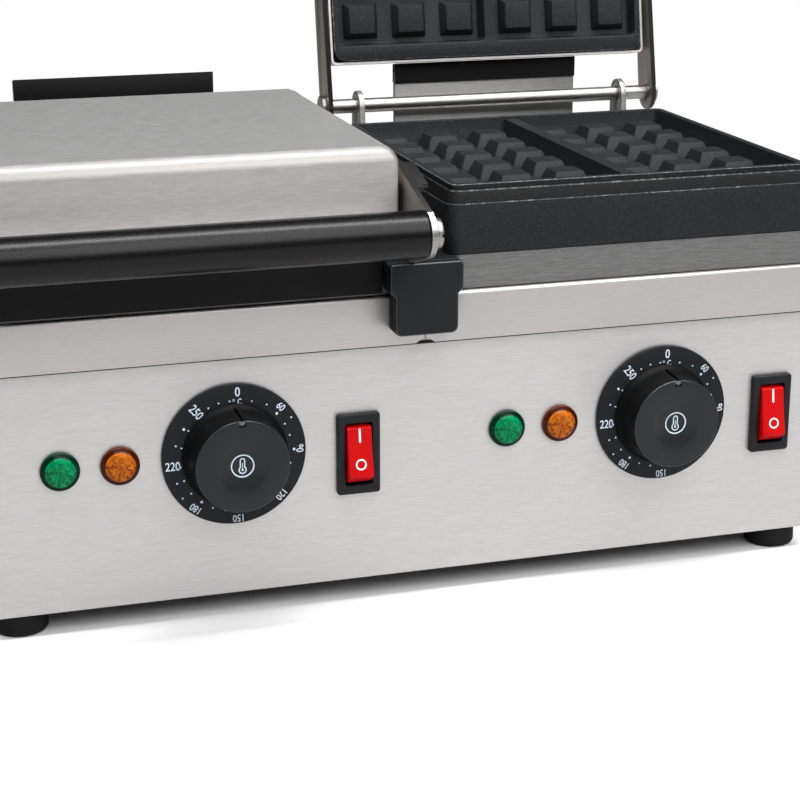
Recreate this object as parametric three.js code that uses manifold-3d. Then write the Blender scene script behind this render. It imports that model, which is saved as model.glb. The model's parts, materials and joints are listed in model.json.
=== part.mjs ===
import * as THREE from 'three';
import { mergeVertices } from 'three/addons/utils/BufferGeometryUtils.js';
import Module from 'manifold-3d';

const wasm = await Module();
wasm.setup();

// Double waffle maker with two hinged lids, in millimetres.
// X runs along the front, Y from the front panel to the back, Z up from the table.

// Clearances and sheet thicknesses
const seatGap = 0.3;
const runningGap = 0.4;
const cutOverrun = 4;
const sheetWall = 1.2;
const coverWall = 1.5;

// Body
const bodyWidth = 420;
const bodyDepth = 242;
const bodyHeight = 140;
const hingeRoom = 56;
const panelReturn = 14;
const panelCornerRadius = 3;
const bottomFlange = 14;
const footHeight = 11;
const footRadius = 13;
const footInset = 13.6;
const footEdgeRadius = 2.5;
const footEdgeShare = 0.33;
const footHollowRadius = 5;
const footHollowDepth = 3;
const footStemRadius = 3;
const footStemHeadRadius = 4.6;
const footStemHead = 3;

// Top covers with the front band
const coverProud = 2;
const bandHeight = 23.8;
const bandEdgeRadius = 1.6;
const seamWidth = 0.5;
const seamNotchWidth = 9.5;
const seamNotchHeight = 1.8;
const deckOpeningInset = 16;
const deckTop = bodyHeight + coverWall;

// Stations: each takes half of the body, and leaves the back of the deck to its hinge
const stationShift = 3;
const stationOffset = bodyWidth / 4 + stationShift;
const stationMargin = 17;
const plateWidth = bodyWidth / 2 - stationMargin;
const shellDepth = bodyDepth - hingeRoom;
const plateCorner = 7;
const riserInset = 1.5;
const riserFront = 1;
const riserFlange = 7;

// Lower cast plate
const riserHeight = 17.5;
const plateBottom = deckTop + riserHeight;
const shoulderRise = 24.8;
const shoulderHeight = plateBottom + shoulderRise;
const lipRise = 33;
const lipTop = plateBottom + lipRise;
const lipHeight = 3;
const lipFoot = lipTop - lipHeight;
const shoulderInset = 2.6;
const lipDraft = 0.3;
const rimWidth = 7;
const webWidth = 7;
const webDrop = 1;
const cavityDepth = 12;
const cavityDraft = 1.2;
const cavityCorner = 3;
const lowerFloor = 6;
const plateSkirt = 6;
const pegRows = 6;
const pegColumns = 3;
const pegHeight = 7;
const pegChannel = 8;
const pegDraft = 3;
const pegSink = 0.5;

// Upper cast plate
const upperThickness = 12;
const upperCavityDepth = 8;
const upperPegHeight = 5.5;
const upperPlateGap = 0.5;
const studRadius = 5;
const studInset = 9;

// Lid shell
const lidSideInset = 1.8;
const lidFront = 3.5;
const lidBackOver = 3;
const lidRise = 21;
const lidTop = lipTop + lidRise;
const lidSideGap = 1.8;
const lidSideBottom = lipTop + lidSideGap;
const lidApronDrop = 14;
const lidApronBottom = lipTop - lidApronDrop;
const lidEdgeRadius = 6;
const lidCornerRadius = 2;

// Guard strip under the left and right lid front
const guardDeckGap = 1.1;
const guardBottom = deckTop + guardDeckGap;
const guardOverlap = 6;
const guardTop = lidApronBottom + guardOverlap;
const guardBlockGap = 0.6;
const guardOuterEnd = 0.5;
const guardCorner = 1.5;

// Side arms, handle and hinge
const armWall = 2.6;
const armLidGap = 2.1;
const handleReach = 36;
const handleDrop = 13.3;
const handleHeight = lipTop - handleDrop;
const handleRadius = 11;
const handleChamfer = 0.8;
const armEndRadius = 11;
const armKneeBack = 12;
const armDepth = 10.2;
const armBottomHeight = lidSideBottom;
const armTopHeight = armBottomHeight + armDepth;
const armFootFront = -12;
const armFootBack = 1;
const armFlangeWidth = 6;
const armFlangeWall = 2;
const armFlangeBack = 9;
const armFlangeFront = -16;
const armNotchLength = 3;
const armDimpleFrontShare = 0.237;
const armDimpleBackShare = 0.806;
const armDimpleRadius = 4.5;
const armDimpleDraft = 0.8;
const handleRodRadius = 3;
const handleNutRadius = 7;
const handleNut = 3;
const nutDomeShare = 0.7;
const handleWasherRadius = 8.6;
const handleWasher = 1.2;
const hingeSetBack = 26;
const hingeBack = shellDepth + hingeSetBack;
const hingeRise = 5;
const hingeHeight = lipTop + hingeRise;
const hingeEyeRadius = 10;
const hingeRodRadius = 4;
const hingeRodHeadRadius = 6.5;
const hingeRodHead = 2.4;
const openAngle = 100;
const screwRadius = 2.5;
const screwHeadRadius = 4.5;
const screwHead = 2.2;
const screwLength = 3.8;

// Hinge bracket
const bracketEarInset = 17;
const bracketWall = 3;
const bracketHalfDepth = 12.5;
const bracketOffset = 0.5;
const bracketFront = hingeBack - bracketHalfDepth + bracketOffset;
const bracketBack = hingeBack + bracketHalfDepth + bracketOffset;
const bracketEarRadius = 8.5;
const stopWidth = 110;
const stopPadHeight = 5;
const stopPadOverlap = 6;

// Centre block
const blockWidth = 36.1;
const blockLowerWidth = 31.1;
const blockOffset = 2.6;
const blockRise = 17.9;
const blockTop = deckTop + blockRise;
const blockShoulderRise = 4.7;
const blockShoulderTop = deckTop + blockShoulderRise;
const blockShoulder = 2.7;
const blockShoulderBottom = blockShoulderTop - blockShoulder;
const blockDrop = 17;
const blockBottom = deckTop - blockDrop;
const blockTopRadius = 2;
const blockBottomRadius = 3.2;
const blockFront = 13;
const blockCap = 4.6;
const blockCapInset = 0.8;
const blockPlateGap = 0.3;
const blockNeckWidth = 22;
const blockNeckBack = 9;

// Controls of the left station: shares of half the panel's width, and of its height below the band
const controlPitchShare = 1.041;
const greenShare = 0.8385;
const orangeShare = 0.706;
const dialShare = 0.4486;
const switchShare = 0.1595;
const lampHeightShare = 0.5965;
const dialHeightShare = 0.6007;
const switchHeightShare = 0.5531;

const lampLensRadius = 9.3;
const lampRimHeight = 1.6;
const lampDome = 2.6;
const lampBodyRadius = 6;
const lampBodyDepth = 22;
const lampNutRadius = 9;
const lampNutDepth = 3;
const lampPinWidth = 2;
const lampPinThickness = 1;
const lampPinLength = 6;

const dialRadius = 34.7;
const dialThickness = 2;
const dialEdge = 0.6;
const knobFootRadius = 25.5;
const knobWaistRadius = 23.2;
const knobFaceRadius = 22.4;
const knobFootHeight = 2.4;
const knobHeight = 18.2;
const knobFaceEdge = 1.5;
const knobDishRadius = 12.7;
const knobDishDepth = 1.2;
const knobHollowRadius = 20.4;
const knobHollowDepth = 12;
const knobHubRadius = 7;
const pointerWidth = 2.2;
const pointerLength = 3.4;
const pointerDepth = 0.9;
const spindleRadius = 3;
const spindleInKnob = 11;
const spindleInBody = 8;
const thermostatWidth = 40;
const thermostatDepth = 27;
const thermostatSetBack = 5;
const thermostatNeckRadius = 5;
const thermostatTabWidth = 6.3;
const thermostatTabLength = 8;

const switchWidth = 21.4;
const switchTall = 40.6;
const bladeSpacing = 10.15;
const switchProud = 2.8;
const switchCorner = 1.4;
const switchBevel = 1.1;
const switchBodyWidth = 17.4;
const switchBodyTall = 36.6;
const switchBodyDepth = 22;
const switchWellWidth = 13.7;
const switchWellTall = 31.4;
const switchWellDepth = 12;
const rockerPivotDepth = 3;
const rockerPinRadius = 1.2;
const rockerPinBite = 1;
const rockerWidth = 12.1;
const rockerTall = 29.6;
const rockerFaceTall = 24;
const rockerFaceDish = 0.35;
const rockerReach = 9.1;
const rockerBevelDepth = 6.2;
const rockerBack = 3.5;
const rockerBackTall = 26;
const rockerTilt = 10;

// Heaters
const heaterRadius = 3.2;
const heaterSpacingShare = 0.23;
const heaterInsetShare = 0.1;
const heaterTail = 44;
const heaterLegs = 4;
const heaterBowShare = 1.3;

// Rear wall
const ventWidth = 4;
const ventLength = 34;
const ventPitch = 12;
const ventCount = 5;
const floorVentCount = 3;
const ventHeight = 60;
const glandRadius = 9;
const glandFlangeRadius = 13;
const glandFlange = 3;
const glandNose = 14;
const glandBore = 4;
const glandHeight = 34;
const glandInset = 60;
const glandPlace = bodyWidth / 2 - glandInset;
const glandTaperShare = 0.7;
const terminalWidth = 46;
const terminalDepth = 18;
const terminalHeight = 22;
const terminalPoles = 3;
const terminalBore = 2.6;
const terminalBoreShare = 0.4;
const terminalSlotShare = 0.7;
const shellScrewInset = 8;

// Facet counts
const roundFacets = 24;
const notchFacets = 96;
const dialFacets = 36;
const midFacets = 12;
const smallFacets = 8;
const nutFacets = 4;
const slotFacets = 1;
const cornerFacets = 3;
const rightAngle = 90;
const heaterSteps = 22;

// Colours
const steelLight = new THREE.Color(0xc6c4c1);
const steelDark = new THREE.Color(0x8c8a88);
const castBlack = new THREE.Color(0x2e3032);
const mouldBlack = new THREE.Color(0x232527);
const rubberBlack = new THREE.Color(0x1a1a1b);
const chromeLight = new THREE.Color(0xd8d8d8);
const rockerRed = new THREE.Color(0xe11419);
const lampGreen = new THREE.Color(0x008250);
const lampOrange = new THREE.Color(0xc85f0a);
const glandGrey = new THREE.Color(0x2b2c2e);
const ceramicWhite = new THREE.Color(0xe6e1d6);

const panelRoughness = 0.38;
const darkRoughness = 0.42;
const castRoughness = 0.62;
const mouldRoughness = 0.5;
const rubberRoughness = 0.8;
const chromeRoughness = 0.2;
const rockerRoughness = 0.3;
const lensRoughness = 0.15;
const glandRoughness = 0.6;
const sheetMetalShare = 0.9;
const castMetalShare = 0.2;

function finish(color, roughness, metalness) {
  return new THREE.MeshStandardMaterial({ color, roughness, metalness });
}

// Solids

function solid(geometry) {
  const bare = geometry.clone();
  bare.deleteAttribute('normal');
  bare.deleteAttribute('uv');
  const merged = mergeVertices(bare);
  const source = merged.index.array;
  const kept = [];
  for (let i = 0; i < source.length; i += 3) {
    const [a, b, c] = [source[i], source[i + 1], source[i + 2]];
    if (a !== b && b !== c && c !== a) kept.push(a, b, c);
  }
  return new wasm.Manifold(new wasm.Mesh({
    numProp: 3,
    vertProperties: new Float32Array(merged.attributes.position.array),
    triVerts: new Uint32Array(kept),
  }));
}

function geometryOf(body) {
  const mesh = body.getMesh();
  const geometry = new THREE.BufferGeometry();
  geometry.setAttribute('position', new THREE.BufferAttribute(new Float32Array(mesh.vertProperties), 3));
  geometry.setIndex(new THREE.BufferAttribute(new Uint32Array(mesh.triVerts), 1));
  geometry.computeVertexNormals();
  return geometry;
}

function joined(bodies) {
  return bodies.reduce((whole, body) => whole.add(body));
}

function cutBy(body, cutters) {
  return cutters.reduce((left, cutter) => left.subtract(cutter), body);
}

function moved(body, x, y, z) {
  return body.translate([x, y, z]);
}

function block(x0, x1, y0, y1, z0, z1) {
  const geometry = new THREE.BoxGeometry(x1 - x0, y1 - y0, z1 - z0);
  geometry.translate((x0 + x1) / 2, (y0 + y1) / 2, (z0 + z1) / 2);
  return solid(geometry);
}

function extruded(shape, length, axes, start, facets) {
  const geometry = new THREE.ExtrudeGeometry(shape, {
    depth: length, bevelEnabled: false, curveSegments: facets,
  });
  const frame = new THREE.Matrix4().makeBasis(...axes);
  geometry.applyMatrix4(frame);
  geometry.translate(...start);
  return solid(geometry);
}

const unitX = new THREE.Vector3(1, 0, 0);
const unitY = new THREE.Vector3(0, 1, 0);
const unitZ = new THREE.Vector3(0, 0, 1);
const forward = unitY.clone().negate();

// A shape drawn as (Y, Z) swept along X, as (X, Z) along Y, or as (X, Y) along Z
function alongX(shape, x0, x1, facets = cornerFacets) {
  return extruded(shape, x1 - x0, [unitY, unitZ, unitX], [x0, 0, 0], facets);
}

function alongY(shape, y0, y1, facets = cornerFacets) {
  return extruded(shape, y1 - y0, [unitX, unitZ, forward], [0, y1, 0], facets);
}

function alongZ(shape, z0, z1, facets = cornerFacets) {
  return extruded(shape, z1 - z0, [unitX, unitY, unitZ], [0, 0, z0], facets);
}

function outline(points) {
  return new THREE.Shape(points.map(([x, y]) => new THREE.Vector2(x, y)));
}

function cornered(x0, x1, y0, y1, radii) {
  const [lowLeft, lowRight, highRight, highLeft] = radii;
  const shape = new THREE.Shape();
  const corner = (x, y, radius, turn) => {
    if (radius > 0) shape.absarc(x, y, radius, turn, turn + Math.PI / 2, false);
    else shape.lineTo(x, y);
  };
  shape.moveTo(x0 + lowLeft, y0);
  corner(x1 - lowRight, y0 + lowRight, lowRight, -Math.PI / 2);
  corner(x1 - highRight, y1 - highRight, highRight, 0);
  corner(x0 + highLeft, y1 - highLeft, highLeft, Math.PI / 2);
  corner(x0 + lowLeft, y0 + lowLeft, lowLeft, Math.PI);
  return shape;
}

function rounded(x0, x1, y0, y1, radius) {
  return cornered(x0, x1, y0, y1, [radius, radius, radius, radius]);
}

// A solid through several level outlines that have the same number of points
function lofted(levels) {
  const rings = levels.map(({ shape, z }) => {
    const points = shape.extractPoints(cornerFacets).shape;
    if (points[0].distanceTo(points[points.length - 1]) === 0) points.pop();
    return { points, z };
  });
  const count = rings[0].points.length;
  const positions = rings.flatMap(({ points, z }) => points.flatMap((p) => [p.x, p.y, z]));
  const faces = [];
  for (let level = 0; level + 1 < rings.length; level += 1) {
    for (let i = 0; i < count; i += 1) {
      const a = level * count + i;
      const b = level * count + (i + 1) % count;
      faces.push(a, b, b + count, a, b + count, a + count);
    }
  }
  const last = (rings.length - 1) * count;
  THREE.ShapeUtils.triangulateShape(rings[0].points, []).forEach(([a, b, c]) => faces.push(a, c, b));
  THREE.ShapeUtils.triangulateShape(rings[rings.length - 1].points, [])
    .forEach(([a, b, c]) => faces.push(last + a, last + b, last + c));
  const geometry = new THREE.BufferGeometry();
  geometry.setAttribute('position', new THREE.Float32BufferAttribute(positions, 3));
  geometry.setIndex(faces);
  return solid(geometry);
}

// A turned solid: the profile is (radius, distance along the axis), from axis to axis
function turned(profile, axis, facets) {
  const points = profile.map(([radius, along]) => new THREE.Vector2(radius, along));
  const geometry = new THREE.LatheGeometry(points, facets);
  const side = axis.clone().cross(axis.z === 0 ? unitZ : unitX);
  geometry.applyMatrix4(new THREE.Matrix4().makeBasis(side, axis, side.clone().cross(axis)));
  return solid(geometry);
}

function rod(radius, start, end, axis, facets = smallFacets) {
  return turned([[0, start], [radius, start], [radius, end], [0, end]], axis, facets);
}

// Pieces: every mesh of the machine is made here

function piece(name, body, material) {
  const mesh = new THREE.Mesh(geometryOf(body), material);
  mesh.name = name;
  return mesh;
}

const halfBody = bodyWidth / 2;
const lidHalf = plateWidth / 2 - lidSideInset;
const armInner = lidHalf + armLidGap;
const armOuter = armInner + armWall;

// Bottom sheet, folded up all round, with vents and the holes of the feet

const footPlaces = [-1, 1].flatMap((side) => [footInset, bodyDepth - footInset].map((y) => (
  {
    x: side * (halfBody - footInset),
    y,
    name: `${y < bodyDepth / 2 ? 'front' : 'rear'}_${side < 0 ? 'left' : 'right'}`,
  })));

function bottomSheet() {
  const inset = sheetWall + seatGap;
  const outer = rounded(-halfBody + inset, halfBody - inset, inset, bodyDepth - inset, panelCornerRadius);
  const inner = rounded(-halfBody + inset + sheetWall, halfBody - inset - sheetWall,
    inset + sheetWall, bodyDepth - inset - sheetWall, panelCornerRadius - sheetWall);
  const tray = alongZ(outer, 0, bottomFlange).subtract(alongZ(inner, sheetWall, bottomFlange + cutOverrun));
  const stemHoles = footPlaces.map(({ x, y }) => moved(
    rod(footStemRadius + seatGap, -cutOverrun, sheetWall + cutOverrun, unitZ), x, y, 0));
  const screwHoles = screwPlaces().map(({ x, z }) => moved(
    rod(screwRadius + seatGap, -cutOverrun, cutOverrun, unitY), x, bodyDepth, z));
  const slots = [];
  for (let i = 0; i < floorVentCount; i += 1) {
    for (const side of [-1, 1]) {
      const x = side * stationOffset + (i - (floorVentCount - 1) / 2) * ventPitch;
      const slot = rounded(x - ventWidth / 2, x + ventWidth / 2, bodyDepth / 2 - ventLength / 2,
        bodyDepth / 2 + ventLength / 2, ventWidth / 2 - seatGap);
      slots.push(alongZ(slot, -cutOverrun, sheetWall + cutOverrun, slotFacets));
    }
  }
  return cutBy(tray, [...stemHoles, ...screwHoles, ...slots]);
}

// Rubber foot: a turned puck whose stem snaps into the bottom sheet

function foot() {
  const bottom = -footHeight;
  const overSheet = sheetWall + seatGap;
  return turned([
    [0, bottom + footHollowDepth], [footHollowRadius, bottom + footHollowDepth],
    [footHollowRadius, bottom], [footRadius - footEdgeRadius, bottom],
    [footRadius - footEdgeRadius * footEdgeShare, bottom + footEdgeRadius * footEdgeShare],
    [footRadius, bottom + footEdgeRadius], [footRadius, -seatGap], [footStemRadius, -seatGap],
    [footStemRadius, overSheet], [footStemHeadRadius, overSheet],
    [footStemRadius / 2, overSheet + footStemHead], [0, overSheet + footStemHead],
  ], unitZ, midFacets);
}

// Front panel, bent round at both ends, with the holes of the controls

const controlPitch = halfBody * controlPitchShare;
const controlPlaces = [{ side: 'left', shift: 0 }, { side: 'right', shift: controlPitch }];
const [greenPlace, orangePlace, dialPlace, switchPlace] = [greenShare, orangeShare, dialShare, switchShare]
  .map((share) => -halfBody * share);
const panelHeight = deckTop - bandHeight;
const [lampHeight, dialHeight, switchHeight] = [lampHeightShare, dialHeightShare, switchHeightShare]
  .map((share) => panelHeight * share);

function frontPanel() {
  const outer = cornered(-halfBody, halfBody, 0, panelReturn,
    [panelCornerRadius, panelCornerRadius, 0, 0]);
  const bend = panelCornerRadius - sheetWall;
  const inner = cornered(-halfBody + sheetWall, halfBody - sheetWall, sheetWall, panelReturn + cutOverrun,
    [bend, bend, 0, 0]);
  const top = bodyHeight - seatGap;
  const skin = alongZ(outer, 0, top).subtract(alongZ(inner, -cutOverrun, top + cutOverrun));
  const holes = controlPlaces.flatMap(({ shift }) => [
    ...[greenPlace, orangePlace].map((place) => moved(
      rod(lampBodyRadius + seatGap, -cutOverrun, cutOverrun, forward), place + shift, 0, lampHeight)),
    moved(rod(thermostatNeckRadius + seatGap, -cutOverrun, cutOverrun, forward),
      dialPlace + shift, 0, dialHeight),
    moved(block(-switchBodyWidth / 2 - seatGap, switchBodyWidth / 2 + seatGap, -cutOverrun, cutOverrun,
      -switchBodyTall / 2 - seatGap, switchBodyTall / 2 + seatGap), switchPlace + shift, 0, switchHeight),
  ]);
  return cutBy(skin, holes);
}

// Rear shell: both sides and the back in one bent sheet, with vents and the gland's hole

function ventRow(place) {
  const cutters = [];
  for (let i = 0; i < ventCount; i += 1) {
    cutters.push(place((i - (ventCount - 1) / 2) * ventPitch));
  }
  return cutters;
}

function rearShell() {
  const top = bodyHeight - seatGap;
  const front = panelReturn + seatGap;
  const bend = panelCornerRadius - sheetWall;
  const outer = cornered(-halfBody, halfBody, front, bodyDepth, [0, 0, panelCornerRadius, panelCornerRadius]);
  const inner = cornered(-halfBody + sheetWall, halfBody - sheetWall, front - cutOverrun,
    bodyDepth - sheetWall, [0, 0, bend, bend]);
  const skin = alongZ(outer, 0, top).subtract(alongZ(inner, -cutOverrun, top + cutOverrun));
  const low = ventHeight - ventLength / 2;
  const high = ventHeight + ventLength / 2;
  const rearVents = ventRow((x) => alongY(rounded(x - ventWidth / 2, x + ventWidth / 2, low, high,
    ventWidth / 2 - seatGap), bodyDepth - sheetWall - cutOverrun, bodyDepth + cutOverrun, slotFacets));
  const sideVents = ventRow((y) => alongX(
    rounded(bodyDepth / 2 + y - ventWidth / 2, bodyDepth / 2 + y + ventWidth / 2, low, high,
      ventWidth / 2 - seatGap), -halfBody - cutOverrun, halfBody + cutOverrun, slotFacets));
  const glandHole = moved(rod(glandRadius + seatGap, -cutOverrun, cutOverrun, unitY, midFacets),
    glandPlace, bodyDepth, glandHeight);
  const screwHoles = screwPlaces().map(({ x, z }) => moved(
    rod(screwRadius + runningGap, -cutOverrun, cutOverrun, unitY), x, bodyDepth, z));
  return cutBy(skin, [...rearVents, ...sideVents, glandHole, ...screwHoles]);
}

function screwPlaces() {
  const outerX = halfBody - shellScrewInset;
  return [['left', -outerX], ['middle', 0], ['right', outerX]].map(([name, x]) => (
    { name, x, z: shellScrewInset }));
}

function shellScrew() {
  return turned([
    [0, -screwLength], [screwRadius, -screwLength], [screwRadius, seatGap], [screwHeadRadius, seatGap],
    [screwHeadRadius, seatGap + screwHead / 2], [screwRadius, seatGap + screwHead], [0, seatGap + screwHead],
  ], unitY, smallFacets);
}

// Top cover of one station: a deck with a folded edge on three sides, cut out under the riser

function topCover(side) {
  const outerX = halfBody + coverProud;
  const x0 = seamWidth / 2;
  const low = deckTop - bandHeight;
  const high = deckTop;
  const frontY = -coverProud;
  const backY = bodyDepth + coverProud;
  const profile = cornered(frontY, backY, low, high, [0, 0, bandEdgeRadius, bandEdgeRadius]);
  const endProfile = cornered(x0, outerX, low, high, [0, 0, bandEdgeRadius, 0]);
  const plan = cornered(x0, outerX, frontY, backY, [0, panelCornerRadius, panelCornerRadius, 0]);
  const shell = alongX(profile, x0, outerX)
    .intersect(alongY(endProfile, frontY, backY))
    .intersect(alongZ(plan, low, high));
  const hollow = alongZ(cornered(x0 - cutOverrun, outerX - coverWall, frontY + coverWall, backY - coverWall,
    [0, panelCornerRadius - coverWall, panelCornerRadius - coverWall, 0]), low - cutOverrun, bodyHeight);
  const opening = alongZ(rounded(stationOffset - plateWidth / 2 + deckOpeningInset,
    stationOffset + plateWidth / 2 - deckOpeningInset, deckOpeningInset, shellDepth - deckOpeningInset,
    panelCornerRadius), bodyHeight - cutOverrun, deckTop + cutOverrun);
  const [notchHalf, sag] = [seamNotchWidth / 2, seamNotchHeight];
  const notchRadius = (notchHalf * notchHalf + sag * sag) / (2 * sag);
  const notch = moved(rod(notchRadius, -cutOverrun, coverProud + cutOverrun, forward, notchFacets),
    0, 0, low - notchRadius + sag);
  const notchWindow = block(-seamNotchWidth, seamNotchWidth, -coverProud - cutOverrun, coverProud,
    low - cutOverrun, low + sag);
  const body = cutBy(shell, [hollow, opening, notch.intersect(notchWindow)]);
  return side === 'left' ? body.mirror([1, 0, 0]) : body;
}

// Riser: the steel frame that carries the lower plate

function riser() {
  const half = plateWidth / 2 - riserInset;
  const back = shellDepth - riserFront;
  const low = deckTop + seatGap;
  const high = plateBottom - seatGap;
  const outer = alongZ(rounded(-half, half, riserFront, back, plateCorner - riserInset), low, high);
  const wall = sheetWall;
  const inner = alongZ(rounded(-half + wall, half - wall, riserFront + wall, back - wall,
    plateCorner - riserInset - wall), low - cutOverrun, high - wall);
  const openTop = alongZ(rounded(-half + riserFlange, half - riserFlange, riserFront + riserFlange,
    back - riserFlange, plateCorner), low - cutOverrun, high + cutOverrun);
  return cutBy(outer, [inner, openTop]);
}

// Cast waffle plates: cavities with draft, pegs in rows and columns

const cavityWidth = (plateWidth - 2 * rimWidth - webWidth) / 2;
const cavityLength = shellDepth - 2 * rimWidth;
const cellWidth = cavityWidth / pegColumns;
const cellLength = cavityLength / pegRows;
const cavityCentres = [-1, 1].map((side) => side * (cavityWidth + webWidth) / 2);

function taperedBlock(centreX, centreY, width, length, draft, corner, z0, z1) {
  const at = (shrink, z) => ({
    shape: rounded(centreX - width / 2 + shrink, centreX + width / 2 - shrink,
      centreY - length / 2 + shrink, centreY + length / 2 - shrink, corner),
    z,
  });
  return lofted([at(0, z0), at(draft, z1)]);
}

function frustum(centreX, centreY, width, length, draft, z0, z1) {
  const geometry = new THREE.BoxGeometry(width, length, z1 - z0);
  const place = geometry.attributes.position;
  for (let i = 0; i < place.count; i += 1) {
    if (place.getZ(i) > 0) {
      place.setX(i, place.getX(i) - Math.sign(place.getX(i)) * draft);
      place.setY(i, place.getY(i) - Math.sign(place.getY(i)) * draft);
    }
  }
  geometry.translate(centreX, centreY, (z0 + z1) / 2);
  return solid(geometry);
}

// A grid of cavities that opens upwards at height 0, with its pegs
function waffleGrid(depth, height) {
  const middle = shellDepth / 2;
  const mouth = cutOverrun;
  const cavities = cavityCentres.map((x) => {
    const spread = cavityDraft * mouth / depth;
    return taperedBlock(x, middle, cavityWidth + 2 * spread, cavityLength + 2 * spread,
      cavityDraft + spread, cavityCorner, -mouth, depth).mirror([0, 0, 1]);
  });
  const pegs = [];
  for (const x of cavityCentres) {
    for (let column = 0; column < pegColumns; column += 1) {
      for (let row = 0; row < pegRows; row += 1) {
        const pegX = x + (column - (pegColumns - 1) / 2) * cellWidth;
        const pegY = middle + (row - (pegRows - 1) / 2) * cellLength;
        pegs.push(frustum(pegX, pegY, cellWidth - pegChannel, cellLength - pegChannel, pegDraft,
          -depth - pegSink, -depth + height));
      }
    }
  }
  return { cavities: joined(cavities), pegs: joined(pegs) };
}

function lowerPlate() {
  const half = plateWidth / 2;
  const ring = (inset, z) => ({
    shape: rounded(-half + inset, half - inset, inset, shellDepth - inset, plateCorner - inset), z,
  });
  const body = lofted([ring(0, plateBottom), ring(0, shoulderHeight),
    ring(shoulderInset, lipFoot), ring(shoulderInset + lipDraft, lipTop)]);
  const grid = waffleGrid(cavityDepth, pegHeight);
  const webTop = block(-webWidth, webWidth, rimWidth, shellDepth - rimWidth,
    lipTop - webDrop, lipTop + cutOverrun);
  const under = lofted([ring(plateSkirt, plateBottom - cutOverrun),
    ring(plateSkirt, lipTop - cavityDepth - lowerFloor)]);
  return cutBy(body, [moved(grid.cavities, 0, 0, lipTop), webTop, under]).add(moved(grid.pegs, 0, 0, lipTop));
}

const upperBottom = lipTop + seatGap;
const lidBack = shellDepth + lidBackOver;

function upperPlate() {
  const half = lidHalf - sheetWall - upperPlateGap;
  const front = -lidFront + sheetWall + upperPlateGap;
  const back = lidBack - sheetWall - upperPlateGap;
  const body = alongZ(rounded(-half, half, front, back, plateCorner),
    upperBottom, upperBottom + upperThickness);
  const grid = waffleGrid(upperCavityDepth, upperPegHeight);
  const cavities = moved(grid.cavities.mirror([0, 0, 1]), 0, 0, upperBottom);
  const pegs = moved(grid.pegs.mirror([0, 0, 1]), 0, 0, upperBottom);
  return body.subtract(cavities).add(pegs);
}

// Lid shell: pressed steel with a soft top edge and a deeper apron in front, with the studs of its plate

function lidShell() {
  const skin = (wall) => {
    const radius = lidEdgeRadius - wall;
    const [x, front, back, top] = [lidHalf - wall, -lidFront + wall, lidBack - wall, lidTop - wall];
    const low = lidApronBottom - (wall > 0 ? cutOverrun : 0);
    return alongX(cornered(front, back, low, top, [0, 0, radius, radius]), -x, x)
      .intersect(alongY(cornered(-x, x, low, top, [0, 0, radius, radius]), front, back))
      .intersect(alongZ(rounded(-x, x, front, back, lidCornerRadius - wall), low, top));
  };
  const apronBack = -lidFront + sheetWall;
  const clearBelow = block(-lidHalf - cutOverrun, lidHalf + cutOverrun, apronBack, lidBack + cutOverrun,
    lidApronBottom - cutOverrun, lidSideBottom);
  const studs = [-1, 1].flatMap((side) => [studInset - lidFront, lidBack - studInset].map((y) => moved(
    rod(studRadius, upperBottom + upperThickness + seatGap, lidTop - sheetWall / 2, unitZ),
    side * (lidHalf - studInset), y, 0)));
  return joined([cutBy(skin(0), [skin(sheetWall), clearBelow]), ...studs]);
}

// Guard strip: black coated sheet behind the apron's lower edge

function guardStrip(side) {
  const front = -lidFront + sheetWall + seatGap;
  const innerEnd = stationOffset - blockOffset - blockWidth / 2 - guardBlockGap;
  const outerEnd = lidHalf - guardOuterEnd;
  const body = alongY(cornered(-outerEnd, innerEnd, guardBottom, guardTop,
    [guardCorner, guardCorner, 0, 0]), front, front + sheetWall);
  return side === 'left' ? body : body.mirror([1, 0, 0]);
}

// Arm: a flat side lever from the hinge eye to the handle, with a foot that lands on the centre block

function tangentPoint(centre, radius, from, sign) {
  const reach = new THREE.Vector2().subVectors(from, centre);
  const turn = Math.acos(radius / reach.length()) * sign;
  const direction = reach.normalize().rotateAround(new THREE.Vector2(), turn);
  return centre.clone().addScaledVector(direction, radius);
}

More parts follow.
